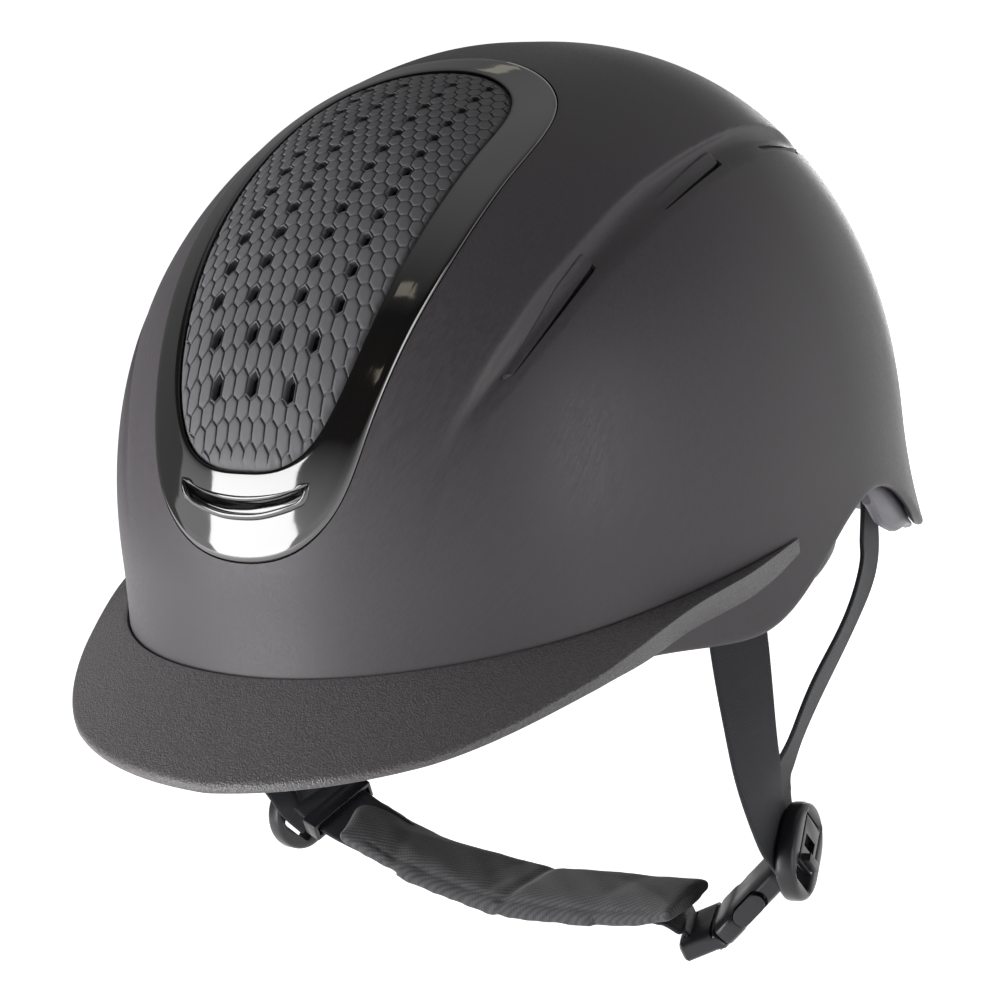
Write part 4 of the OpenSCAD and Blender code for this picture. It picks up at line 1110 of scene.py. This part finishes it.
def pathAxes(places, ref):
    # unit vectors at each place of a path: along it, across it and through it
    xyz, last = places[:, :3], len(places) - 1
    k = np.arange(last + 1)
    d = unit(xyz[np.minimum(k + 1, last)] - xyz[np.maximum(k - 1, 0)])
    ref = np.array(ref, float)
    s = unit(ref - d*(d @ ref)[:, None])
    v = np.cross(d, s)
    roll = np.radians(places[:, 3:4])
    return d, np.cos(roll)*s + np.sin(roll)*v, np.cos(roll)*v - np.sin(roll)*s


def ringsAlong(places, outlineAt, ref):
    d, across, through = pathAxes(places, ref)
    rings = []
    for k, at in enumerate(places[:, :3]):
        outline = outlineAt(k)
        rings.append(at + outline[:, :1]*across[k] + outline[:, 1:]*through[k])
    return rings


def runAlong(xyz):
    return np.concatenate([[0], np.cumsum(np.linalg.norm(np.diff(xyz, axis=0), axis=1))])


def bandOutline(w, t, across=15):
    # flat band with round, slightly thicker selvedges
    half, r = w/2, t/2
    x = np.linspace(-half + r, half - r, across)
    thick = t/2*(0.86 + 0.14*np.clip(1 - (half - np.abs(x))/2.5, 0, 1))
    arc = np.linspace(-math.pi/2, math.pi/2, 6)[1:-1]
    right = np.stack([half - r + r*np.cos(arc), r*np.sin(arc)], -1)
    left = np.stack([-half + r - r*np.cos(arc), -r*np.sin(arc)], -1)
    return np.concatenate([np.stack([x, -thick], -1), right, np.stack([x[::-1], thick], -1), left])


def ribbon(name, stations, ref, steps, side=1, relax=0):
    # webbing along stations of place and roll
    places = curveThrough(stations, steps)
    inner = places.copy()
    for _ in range(relax):
        # the webbing hangs in even bends between its fixed ends
        inner[1:-1] = (inner[:-2] + 2*inner[1:-1] + inner[2:])/4
    share = np.minimum(1, np.minimum(np.arange(steps + 1), np.arange(steps, -1, -1))/16)[:, None]
    places = blended(places, inner, share)
    outline = bandOutline(webbing["width"], webbing["thickness"])
    rings = np.array(ringsAlong(places, lambda k: outline, ref))*[side, 1, 1]
    piece = loft(name, rings)
    weave = np.zeros((len(piece.data.vertices), 3))
    run = runAlong(places[:, :3])[:, None]
    grid = np.stack(np.broadcast_arrays(outline[None, :, 0], run, outline[None, :, 1]), -1)
    weave[:len(outline)*(steps + 1)] = grid.reshape(-1, 3)
    setWeave(piece, weave)
    return piece


def setWeave(piece, places):
    # the cloth's own directions, for its weave
    weave = piece.data.attributes.new("weave", "FLOAT_VECTOR", "POINT")
    weave.data.foreach_set("vector", places.astype(np.float32).ravel())


divider = {"place": (91, -6.5, -110), "yaw": 10, "lean": 45, "width": 23.6, "length": 30, "thickness": 6,
           "window": (12.4, 20.8)}


def atDivider(points, side=1):
    p = np.asarray(points, float)
    cy, sy = math.cos(math.radians(divider["yaw"])), math.sin(math.radians(divider["yaw"]))
    cl, sl = math.cos(math.radians(divider["lean"])), math.sin(math.radians(divider["lean"]))
    h = cl*p[..., 1] + sl*p[..., 2]
    q = np.stack([cy*p[..., 0] - sy*h, sy*p[..., 0] + cy*h, cl*p[..., 2] - sl*p[..., 1]], -1)
    return (q + divider["place"])*[side, 1, 1]


layerFront = -divider["thickness"]/2 - 0.3 - webbing["thickness"]/2
layerRear = layerFront - webbing["thickness"] - 0.3
straps = {
    # place of the webbing's middle in mm, and the roll of its width in degrees
    "front": [(92.6, -29.5, -10, -75), (92.6, -30.3, -27, -67), (93.2, -30.6, -39, -65),
              (93, -29.8, -52, -69.5), (93, -29.2, -62, -74.5), (92.3, -27.2, -74.3, -79),
              (91.4, -23.6, -85.4, -84), (*atDivider((layerFront - 0.2, -14, 1.5)), -93),
              (*atDivider((layerFront, -8.5, 0.4)), -97), (*atDivider((layerFront, 1.5, 0)), -97)],
    "rear": [(85.4, 63.5, 4, 63), (85.4, 63.5, -13, 65), (85.8, 62.2, -26, 72), (86.6, 59.6, -36.6, 78),
             (87.4, 54.6, -42, 73), (88.3, 47.7, -47.2, 68), (89.5, 34.1, -55.8, 62.5),
             (90.5, 20.4, -61.9, 63.5), (91, 8.6, -68, 65.5), (91.1, 0.4, -74, 64), (90.2, -3.5, -80, 66),
             (87.6, -6.6, -85, 75), (86, -8.6, -91, 82), (*atDivider((layerRear - 0.2, -1, 5)), 81)],
}


def buildStraps():
    for which, steps, relax in (("front", 150, 60), ("rear", 220, 260)):
        for side, word in ((1, "left"), (-1, "right")):
            name = f"{which}Strap{word.capitalize()}"
            piece = ribbon(name, straps[which], (1, 0, 0), steps, side, relax)
            finished(piece, finish["webbing"], "helmet", "webbing", f"{which}_strap_{word}", angle=60)


buildStraps()
print("straps made")

buckle = {"mouth": (61.6, -4.8, -136), "yaw": 24, "tilt": 47, "width": 30, "thickness": 8, "socket": 27.5,
          "block": 13, "bend": 23.5, "buttonAt": 12.9, "button": (5.6, 11.4)}


def atBuckle(points, bend=0):
    p = np.asarray(points, float)
    for angle in (bend, buckle["tilt"]):
        c, s = math.cos(math.radians(angle)), math.sin(math.radians(angle))
        p = np.stack([c*p[..., 0] + s*p[..., 2], p[..., 1], c*p[..., 2] - s*p[..., 0]], -1)
    c, s = math.cos(math.radians(buckle["yaw"])), math.sin(math.radians(buckle["yaw"]))
    p = np.stack([c*p[..., 0] - s*p[..., 1], s*p[..., 0] + c*p[..., 1], p[..., 2]], -1)
    return p + buckle["mouth"]


def blockPoint(out):
    return tuple(atBuckle((-out, 0, -(buckle["block"] - 3)), buckle["bend"]))


chinStrap = [(*blockPoint(0), 24), (*blockPoint(3.4), 24),
             (*(np.array(blockPoint(6.2)) + [-0.4, -0.6, 0]), 17), (47.5, -12, -130.2, -2),
             (38.5, -13.5, -128, -12), (15.5, -13.5, -128.7, -13), (-7.4, -13.5, -128.8, -12),
             (-25.4, -13.5, -125.2, -9), (-43, -13.7, -120.5, -10), (-62.7, -14.2, -112, -24),
             (-72.5, -13, -107.8, -30), (-82, -9.6, -104.6, -26)]
socketStrap = [(*atBuckle((0, 0, buckle["socket"] + out)), roll)
               for out, roll in ((-4.5, 0), (0, 0), (1.6, 3), (3, 8))]


def buildChinStraps():
    piece = ribbon("chinStrap", chinStrap, (0, 1, 0), 240)
    finished(piece, finish["webbing"], "helmet", "webbing", "chin_strap", angle=60)
    yaw = math.radians(buckle["yaw"])
    piece = ribbon("socketStrap", socketStrap, (-math.sin(yaw), math.cos(yaw), 0), 24)
    finished(piece, finish["webbing"], "helmet", "webbing", "socket_strap", angle=60)


buildChinStraps()

chinPad = {
    "width": 27, "thickness": 8, "sides": 40, "steps": 150,
    "slack": 0.5, "pressure": 3.0, "voxel": 1.7, "cap": 1.1,
    "skew": 7.5, "skewRun": 22, "seam": 3.6, "seamDepth": 0.45, "pucker": 0.1, "sag": (0.14, 0.07),
    # folds: share of the length, width, depth and lean of each
    "folds": [(0.47, 2.2, 0.9, 0.35), (0.86, 3.0, 0.6, -0.3), (0.2, 4.0, 0.35, 0.5)],
    # flap along the front edge: start and end as shares of the length, and reach
    "flap": (0.235, 0.81, 1.7),
    "path": [(55.2, -13.5, -125.4, -4), (38.5, -13.5, -127.6, -12), (15.5, -13.5, -128.7, -13),
             (-7.4, -13.5, -128.8, -12), (-25.4, -13.5, -125.2, -9), (-43, -13.5, -120.3, -4),
             (-63.5, -13.4, -111, -2)],
}

# cloth settings of every stuffed piece
fabric = {"use_pressure": True, "mass": 0.15, "tension_stiffness": 12, "compression_stiffness": 4,
          "bending_stiffness": 0.6, "quality": 5}


def pointsOf(piece):
    points = np.empty(3*len(piece.data.vertices), np.float32)
    piece.data.vertices.foreach_get("co", points)
    return points.reshape(-1, 3).astype(float)


def puffed(piece, voxel, pressure, cap, frames=16):
    # a slack casing blown up a little as cloth, no point further than the cap
    remesh = piece.modifiers.new("remesh", "REMESH")
    remesh.mode = "VOXEL"
    remesh.voxel_size = voxel*mm
    applied(piece)
    before = pointsOf(piece)
    cloth = piece.modifiers.new("cloth", "CLOTH")
    for setting, value in fabric.items():
        setattr(cloth.settings, setting, value)
    cloth.settings.uniform_pressure_force = pressure
    cloth.settings.effector_weights.gravity = 0
    cloth.point_cache.frame_start, cloth.point_cache.frame_end = 1, frames
    scene = bpy.context.scene
    for k in range(1, frames + 1):
        scene.frame_set(k)
    applied(piece)
    scene.frame_set(1)
    move = pointsOf(piece) - before
    size = np.linalg.norm(move, axis=1, keepdims=True)
    after = before + move*np.minimum(1, cap*mm/np.maximum(size, 1e-9))
    piece.data.vertices.foreach_set("co", after.astype(np.float32).ravel())
    piece.data.update()
    return piece


def padOutline(share):
    # section of the pad at a share of its length, thinner at the ends
    full = 0.72 + 0.28*math.sin(math.pi*share)**0.4
    a = np.linspace(0, 2*math.pi, chinPad["sides"], endpoint=False)
    c, s = np.cos(a), np.sin(a)
    u = (chinPad["width"]/2 - chinPad["slack"])*np.sign(c)*np.abs(c)**0.7
    w = (chinPad["thickness"]/2*full - chinPad["slack"])*np.sign(s)*np.abs(s)**0.8
    return np.stack([u, w], -1)


def padPlaces(piece, places):
    # each point's way along the pad in mm, and its offsets across it and through it
    xyz = places[:, :3]
    axes = np.stack(pathAxes(places, (0, 1, 0)), 1)
    run = runAlong(xyz)
    points = pointsOf(piece)/mm
    k = np.concatenate([np.argmin(np.linalg.norm(part[:, None] - xyz, axis=2), axis=1)
                        for part in np.array_split(points, 1 + len(points)//4000)])
    local = np.einsum("nij,nj->ni", axes[k], points - xyz[k])
    local[:, 0] += run[k]
    return points, local, axes[k], run[-1]


def bump(x, middle, width):
    return np.exp(-((x - middle)/width)**2)


def step(x, low, high):
    f = np.clip((x - low)/(high - low), 0, 1)
    return f*f*(3 - 2*f)


def buildChinPad():
    steps = chinPad["steps"]
    places = curveThrough(chinPad["path"], steps)
    piece = loft("chinPad", ringsAlong(places, lambda k: padOutline(k/steps), (0, 1, 0)))
    puffed(piece, chinPad["voxel"], chinPad["pressure"], chinPad["cap"])
    subdivided(piece)
    points, local, axes, length = padPlaces(piece, places)
    x, across, through = local.T
    half = chinPad["width"]/2
    outer = step(through, -1.5, 1.5)
    # end cut on the slant, with the rear corner further round
    slant = step(across, -half, half)*step(x, length - chinPad["skewRun"], length)
    # folds across the pad, a stitched seam near its front edge and puckers along it
    inward = 0
    for place, width, depth, lean in chinPad["folds"]:
        inward = inward + depth*bump(x + lean*across, place*length, width)
    seam = bump(across, chinPad["seam"] - half, 0.55)*step(x, 6, 10)*step(length - x, 6, 10)
    edge = 1 - step(across + half, 2, 7)
    wave = np.sin(x*0.49 + 2.6*np.sin(x*0.13)) + 0.5*np.sin(x*0.83 + 3*np.sin(x*0.07))
    start, end, reach = chinPad["flap"]
    flap = reach*(1 - step(across + half, 0.5, 3.5))*step(x, start*length - 0.6, start*length + 0.6)
    flap = flap*(1 - step(x, end*length - 0.6, end*length + 0.6))
    long, short = chinPad["sag"]
    sag = long*np.sin(x*0.17 + across*0.2) + short*np.sin(x*0.41 - across*0.5 + 1)
    relief = sag + chinPad["pucker"]*wave*edge - inward - chinPad["seamDepth"]*seam
    moved = np.stack([chinPad["skew"]*slant, -flap - 0.07*wave*edge, relief*(2*outer - 1)], 1)
    points = points + np.einsum("nij,ni->nj", axes, moved)
    piece.data.vertices.foreach_set("co", (points*mm).astype(np.float32).ravel())
    setWeave(piece, np.stack([x, across, through], 1))
    piece.data.update()
    return finished(piece, finish["chinPad"], "helmet", "chin_twill", "chin_pad", angle=60)


buildChinPad()
print("chin pad made")

pads = {
    "gap": 0.8, "thickness": 6, "voxel": 2.2, "pressure": 3.0, "cap": 0.5,
    # node, turn of both ends, height of both edges, steps along it
    "bands": {
        "browPad": ("brow_pad", -64, 64, -24, 6, 120),
        "sidePadLeft": ("side_pad_left", 68, 92, 4, 34, 40),
        "sidePadRight": ("side_pad_right", -92, -68, 4, 34, 40),
    },
    "crown": {"depth": 25, "sides": 96, "steps": 16, "voxel": 3.0, "cap": 0.4},
}


def cushionRing(turn, low, high, t, share):
    d = linerIn + pads["gap"]
    g = t*share
    middle, half = (low + high)/2, (high - low)/2*(0.8 + 0.2*share)
    a = np.linspace(0, math.pi, 13)
    back = [(middle + half*k, 0.4) for k in np.linspace(-0.95, 0.95, 9)]
    front = [(middle + half*math.cos(x), 0.5 + (g - 0.7)*math.sin(x)**0.6) for x in a]
    line = np.array(front + back)
    return onDome(turn, line[:, 0], d + line[:, 1])


def cushion(name, rings, voxel, cap, body, node):
    piece = loft(name, rings)
    puffed(piece, voxel, pads["pressure"], cap)
    subdivided(piece)
    finished(piece, finish["pad"], body, "pad_fabric", node, angle=60)


def buildPads():
    for name, (node, start, end, low, high, steps) in pads["bands"].items():
        rings = []
        for k in range(steps + 1):
            share = 0.25 + 0.75*math.sin(math.pi*k/steps)**0.35
            turn = blended(start, end, k/steps)
            rings.append(cushionRing(turn, low, high, pads["thickness"], share))
        cushion(name, rings, pads["voxel"], pads["cap"], "helmet", node)
    crown = pads["crown"]
    d, t = linerIn + pads["gap"], pads["thickness"]
    top = dome["height"] - d
    low = top - crown["depth"]
    turns = np.arange(crown["sides"])*360/crown["sides"]
    rings = [onDome(turns, z, d + 0.3) for z in quarterSteps(low, top, crown["steps"])]
    inner = quarterSteps(low + 1.5, top - t, crown["steps"])[::-1]
    rings += [onDome(turns, z, d + t - 0.4) for z in inner]
    cushion("crownPad", rings, crown["voxel"], crown["cap"], "helmet", "crown_pad")


buildPads()
nape = {"turn": 30, "top": -47, "low": -61, "inset": 41.3, "thickness": 5, "steps": 40,
        "voxel": 1.5, "cap": 0.3}


def buildNapePad():
    rings, steps = [], nape["steps"]
    middle, half = (nape["top"] + nape["low"])/2, (nape["top"] - nape["low"])/2
    for k in range(steps + 1):
        turn = blended(180 - nape["turn"], 180 + nape["turn"], k/steps)
        s = nape["thickness"]*(0.3 + 0.7*math.sin(math.pi*k/steps)**0.4)
        a = np.linspace(0, math.pi, 13)
        line = [(middle + half*math.cos(x), 0.3 + (s - 0.5)*math.sin(x)**0.6) for x in a]
        line += [(middle + half*f, 0.2) for f in np.linspace(-0.9, 0.9, 7)]
        line = np.array(line)
        rings.append(onDome(turn, line[:, 0], nape["inset"] + line[:, 1]))
    cushion("napePad", rings, nape["voxel"], nape["cap"], "cradle", "nape_pad")


buildNapePad()
print("comfort pads made")


def stadium(w, l, n=64):
    # oval with straight sides, its long way along the second axis
    a = np.linspace(0, 2*math.pi, n, endpoint=False) + math.pi/n
    c, s = np.cos(a), np.sin(a)
    return np.stack([w/2*c, w/2*s + np.sign(s)*(l - w)/2], -1)


def roundedBox(w, l, r, n=64):
    # rounded rectangle met by rays at even angles, so that it lofts to a stadium
    a = np.linspace(0, 2*math.pi, n, endpoint=False) + math.pi/n
    k = max(w, l)/min(r, w, l)*0.9 + 2
    c, s = np.cos(a), np.sin(a)
    return np.stack([w/2*np.sign(c)*np.abs(c)**(2/k), l/2*np.sign(s)*np.abs(s)**(2/k)], -1)


def buildDivider(side, word):
    # a ring whose edges are rounded outside and inside
    near, far = -divider["thickness"]/2, divider["thickness"]/2
    outer = [(-1.6, near), (-0.7, near + 0.15), (-0.2, near + 0.6), (0, near + 1.4),
             (0, far - 1.8), (-0.3, far - 0.9), (-1.0, far - 0.25), (-2.0, far)]
    inner = [(1.2, far), (0.5, far - 0.2), (0.1, far - 0.7), (0, far - 1.2),
             (0, near + 0.8), (0.2, near + 0.2), (0.6, near)]
    w, l = divider["width"], divider["length"]
    section = [(stadium(w + 2*grow, l + 2*grow), x) for grow, x in outer]
    w, l = divider["window"]
    section += [(roundedBox(w + 2*grow, l + 2*grow, 2), x) for grow, x in inner]
    rings = []
    for outline, x in section:
        p = np.stack([np.full(len(outline), x), outline[:, 0], outline[:, 1]], -1)
        rings.append(atDivider(p, side))
    piece = loft(f"divider{word.capitalize()}", rings, capped=False)
    finished(piece, finish["hardware"], "helmet", "hardware_gloss", f"divider_{word}", angle=40)


buildDivider(1, "left")
buildDivider(-1, "right")


def superOval(w, t, k=4.5, n=64):
    a = np.linspace(0, 2*math.pi, n, endpoint=False)
    c, s = np.cos(a), np.sin(a)
    return np.stack([t/2*np.sign(c)*np.abs(c)**(2/k), w/2*np.sign(s)*np.abs(s)**(2/k)], -1)


def buckleRings(w, t, line, bend=0):
    # sections at a height, each with its shares of the width and thickness
    return [atBuckle(np.column_stack([superOval(w*a, t*b), np.full(64, z)]), bend) for z, a, b in line]


def buildSocket():
    w, t = buckle["width"], buckle["thickness"]
    line = [(0.2, 0.94, 0.86), (0.5, 0.98, 0.95), (1.2, 1, 1), (5.8, 1, 1), (6.9, 0.985, 0.98),
            (7.6, 0.965, 0.93), (8.3, 0.955, 0.91), (12, 0.95, 0.93), (18, 0.95, 0.95),
            (24, 0.945, 0.95), (26.4, 0.93, 0.92), (27.2, 0.9, 0.84), (27.5, 0.85, 0.72)]
    piece = loft("buckleSocket", buckleRings(w, t, line))
    hole = stadium(buckle["button"][0] + 0.8, buckle["button"][1] + 1.5)
    for y in (-1, 1):
        def sideways(outline, depth):
            full = np.full(len(outline), y*float(depth))
            up = outline[:, 1] + buckle["buttonAt"] + 0.35
            return atBuckle(np.column_stack([outline[:, 0], full, up]))
        cut(piece, prism("buttonHole", hole, sideways, 9, 20))
    cut(piece, boxPiece("cavity", atBuckle(boxPoints((-2.5, -13, -2), (2.5, 13, 20)))))
    cut(piece, boxPiece("strapSlot", atBuckle(boxPoints((-1.15, -10.4, 22), (1.15, 10.4, 30)))))
    finished(piece, finish["hardware"], "helmet", "hardware_gloss", "buckle_socket", angle=35)


def buildBlock():
    w, t = buckle["width"] - 1, buckle["thickness"] - 0.6
    tail = [(-13, 0.9, 0.8), (-12.7, 0.95, 0.9), (-12, 1, 1), (-8, 1, 1), (-5, 1, 1), (-2.6, 1, 1)]
    face = [(-1.6, 1, 1), (-0.8, 1, 1), (-0.25, 0.97, 0.93)]
    rings = buckleRings(w, t, tail, buckle["bend"]) + buckleRings(w, t, face)
    piece = loft("buckleBlock", rings)
    slot = atBuckle(boxPoints((-8, -10.4, -11.2), (8, 10.4, -8.8)), buckle["bend"])
    cut(piece, boxPiece("strapSlot", slot))
    guide = boxPiece("guide", atBuckle(boxPoints((-1.8, -4.6, -0.5), (1.8, 4.6, 19))))
    piece = joined("buckleBlock", [piece, guide])
    finished(piece, finish["hardware"], "helmet", "hardware_gloss", "buckle_block", angle=35)


buildSocket()
buildBlock()
print("dividers and buckle made")


def softened(node, width, material, slotName):
    # a machined or moulded node keeps its shape and gets broken edges
    piece = nodes[node]
    weld = piece.modifiers.new("weld", "WELD")
    weld.merge_threshold = 0.004*mm
    bevel = piece.modifiers.new("bevel", "BEVEL")
    bevel.width = width*mm
    bevel.segments = 3
    bevel.limit_method = "ANGLE"
    bevel.angle_limit = math.radians(40)
    bevel.use_clamp_overlap = True
    shade = piece.modifiers.new("shade", "NODES")
    shade.node_group = shadeGroup
    if not piece.data.materials:
        piece.data.materials.append(material)
    for k in range(len(piece.data.materials)):
        piece.data.materials[k] = material


def makeShadeGroup():
    group = bpy.data.node_groups.new("smoothByAngle", "GeometryNodeTree")
    group.interface.new_socket("Geometry", in_out="INPUT", socket_type="NodeSocketGeometry")
    group.interface.new_socket("Geometry", in_out="OUTPUT", socket_type="NodeSocketGeometry")
    start, end = group.nodes.new("NodeGroupInput"), group.nodes.new("NodeGroupOutput")
    faces = group.nodes.new("GeometryNodeSetShadeSmooth")
    edges = group.nodes.new("GeometryNodeSetShadeSmooth")
    edges.domain = "EDGE"
    angle = group.nodes.new("GeometryNodeInputMeshEdgeAngle")
    flat = group.nodes.new("FunctionNodeCompare")
    flat.operation = "LESS_THAN"
    flat.inputs["B"].default_value = math.radians(35)
    group.links.new(angle.outputs["Unsigned Angle"], flat.inputs["A"])
    group.links.new(start.outputs[0], faces.inputs["Geometry"])
    group.links.new(faces.outputs[0], edges.inputs["Geometry"])
    group.links.new(flat.outputs[0], edges.inputs["Shade Smooth"])
    group.links.new(edges.outputs[0], end.inputs[0])
    return group


shadeGroup = makeShadeGroup()
# kept nodes: width of their broken edges in mm, finish and slot
kept = {
    "strap_anchors": (0.25, "fitting", "fitting_plastic"),
    "divider_lever_left": (0.35, "hardware", "hardware_gloss"),
    "divider_lever_right": (0.35, "hardware", "hardware_gloss"),
    "buckle_arm_front": (0.4, "hardware", "hardware_gloss"),
    "buckle_arm_rear": (0.4, "hardware", "hardware_gloss"),
    "strap_keeper": (0.5, "hardware", "hardware_gloss"),
    "guide_rails": (0.4, "fitting", "fitting_plastic"),
    "nape_cradle": (0.5, "fitting", "fitting_plastic"),
    "dial_cover": (0.5, "fitting", "fitting_plastic"),
    "cover_screws": (0.2, "steel", "screw_steel"),
    "size_dial": (0.5, "dial", "dial_rubber"),
    "dial_pinion": (0.1, "fitting", "fitting_plastic"),
    "head_band_left": (0.4, "fitting", "fitting_plastic"),
    "head_band_right": (0.4, "fitting", "fitting_plastic"),
}
for node, (width, which, slotName) in kept.items():
    softened(node, width, finish[which], slotName)
print("kept nodes dressed")

studio = {
    "floor": -0.30, "floorHalf": 6, "sky": 0.46, "zenith": 0.02, "ceiling": 0.4, "glow": 1.0,
    # lamps: place, target and size in m, power
    "lamps": {
        "keyBox": ((-0.77, -1.31, 0.12), (0, -0.05, 0), (0.7, 1.1), 15),
        "lowBox": ((-0.8, -1.3, -0.12), (0, -0.05, 0), (1.0, 0.34), 13),
        "rimBox": ((-0.40, 1.42, -0.06), (0.05, 0, 0), (0.2, 0.44), 2.6),
        "leftBox": ((-1.5, -0.3, 0.3), (0, 0, 0), (0.5, 0.8), 5),
        "sideBox": ((1.5, -0.1, 0.25), (0, 0, 0), (0.6, 0.9), 5.5),
        "practical1": ((0.21, -1.22, 1.2), (0, -0.08, 0.08), (0.16, 0.12), 0.05),
        "practical2": ((0.10, -0.62, 1.58), (0, -0.08, 0.08), (0.16, 0.12), 0.05),
        "practical3": ((-0.77, 1.17, 0.88), (0, -0.08, 0.08), (0.16, 0.12), 0.03),
        "rearBox": ((0.7, 1.5, 0.7), (0, 0, 0.05), (0.9, 0.9), 0.3),
    },
    "warm": {"practical1", "practical2", "practical3"}, "warmColor": (1, 0.93, 0.72),
    "unreflected": {"lowBox", "leftBox"}, "unseen": {"rimBox"},
    # flag: its two lower corners seen from above, its height range and how grey it is
    "flag": {"ends": ((-2.1, -1.2), (-0.9, 1.5)), "low": -0.299, "high": 0.9, "glow": 0.2},
}


def buildLamp(name, place, target, size, power):
    light = bpy.data.lights.new(name, "AREA")
    light.shape = "RECTANGLE"
    light.size, light.size_y = size
    light.energy = power
    light.color = studio["warmColor"] if name in studio["warm"] else (1, 1, 1)
    lamp = bpy.data.objects.new(name, light)
    bpy.context.scene.collection.objects.link(lamp)
    lamp.location = place
    lamp.rotation_euler = (Vector(target) - Vector(place)).to_track_quat("-Z", "Y").to_euler()
    lamp.visible_glossy = name not in studio["unreflected"]
    lamp.visible_camera = name not in studio["unseen"]


def buildWorld():
    world = bpy.data.worlds.new("studio")
    bpy.context.scene.world = world
    world.use_nodes = True
    tree = world.node_tree
    tree.nodes.clear()
    way = addNode(tree, "TexCoord").outputs["Generated"]
    height = addNode(tree, "SeparateXYZ", {"Vector": way}).outputs["Z"]
    dim = ranged(tree, height, studio["sky"], studio["zenith"], 0.0, 0.6)
    toCeiling = addNode(tree, "VectorMath", {0: way, 1: (0, 0.5, 0.866)}, operation="DOT_PRODUCT")
    pale = mathIn(tree, "ADD", ranged(tree, height, 1.0, 0.03, 0.06, 0.45),
                  ranged(tree, toCeiling.outputs["Value"], 0.0, studio["ceiling"], 0.55, 0.97))
    path = addNode(tree, "LightPath")
    mirrored = mathIn(tree, "MAXIMUM", path.outputs["Is Glossy Ray"], path.outputs["Is Transmission Ray"])
    seen = mathIn(tree, "MAXIMUM", path.outputs["Is Camera Ray"], mirrored)
    strength = addNode(tree, "Mix", {0: seen, 2: dim, 3: pale}, data_type="FLOAT").outputs[0]
    background = addNode(tree, "Background", {"Color": (1, 1, 1, 1), "Strength": strength})
    output = tree.nodes.new("ShaderNodeOutputWorld")
    tree.links.new(background.outputs[0], output.inputs[0])


def sheet(name, corners, material):
    mesh = bpy.data.meshes.new(name)
    mesh.from_pydata(corners, [], [(0, 1, 2, 3)])
    mesh.materials.append(material)
    piece = addObject(name, mesh)
    return piece


def floorPaper():
    material, tree, shader = newMaterial("floorPaper", (0.8, 0.8, 0.8), 0.9)
    bumped(tree, shader, noiseIn(tree, placeIn(tree), 400, 2), 0.05, 0.2)
    glow = addNode(tree, "Emission", {"Color": (1, 1, 1, 1), "Strength": studio["glow"]})
    path = addNode(tree, "LightPath")
    seen = mathIn(tree, "MAXIMUM", path.outputs["Is Camera Ray"], path.outputs["Is Glossy Ray"])
    none = addNode(tree, "Emission", {"Strength": 0.0})
    chosen = addNode(tree, "MixShader", {0: seen, 1: none.outputs[0], 2: glow.outputs[0]})
    both = addNode(tree, "AddShader", {0: shader.outputs[0], 1: chosen.outputs[0]})
    # seen from below, the floor lets the view through
    under = addNode(tree, "NewGeometry").outputs["Backfacing"]
    clear = addNode(tree, "BsdfTransparent")
    paper = addNode(tree, "MixShader", {0: under, 1: both.outputs[0], 2: clear.outputs[0]})
    tree.links.new(paper.outputs[0], tree.nodes["Material Output"].inputs["Surface"])
    return material


def buildStudio():
    buildWorld()
    far, z = studio["floorHalf"], studio["floor"]
    sheet("floor", [(-far, -far, z), (far, -far, z), (far, far, z), (-far, far, z)], floorPaper())
    for name, settings in studio["lamps"].items():
        buildLamp(name, *settings)
    # grey flag that only shiny surfaces see, left of the object
    flag = studio["flag"]
    felt, tree, shader = newMaterial("flagFelt", (0.01, 0.01, 0.01), 0.95)
    shader.inputs["Emission Color"].default_value = (1, 1, 1, 1)
    shader.inputs["Emission Strength"].default_value = flag["glow"]
    a, b = flag["ends"]
    low, high = flag["low"], flag["high"]
    piece = sheet("flag", [(*a, low), (*b, low), (*b, high), (*a, high)], felt)
    piece.visible_camera = piece.visible_diffuse = piece.visible_shadow = False
    bpy.context.scene.view_settings.view_transform = "Standard"


# the camera solved on the photograph: place in mm, lens and sensor in mm, its three directions
photoCamera = {
    "place": (752.056, -1072.723, 324.799), "lens": 161.2, "sensor": 36, "clip": (0.05, 50),
    "right": (0.828006, 0.548223, -0.117719),
    "up": (-0.041593, 0.269415, 0.962125),
    "back": (0.559175, -0.791749, 0.245880),
}


def buildCamera():
    data = bpy.data.cameras.new("camera")
    data.sensor_width = photoCamera["sensor"]
    data.lens = photoCamera["lens"]
    data.clip_start, data.clip_end = photoCamera["clip"]
    camera = bpy.data.objects.new("camera", data)
    bpy.context.scene.collection.objects.link(camera)
    axes = Matrix([photoCamera[way] for way in ("right", "up", "back")])
    place = axes.transposed().to_4x4()
    place.translation = Vector(photoCamera["place"])*mm
    camera.matrix_world = place
    bpy.context.scene.camera = camera


buildStudio()
buildCamera()
print("studio made")
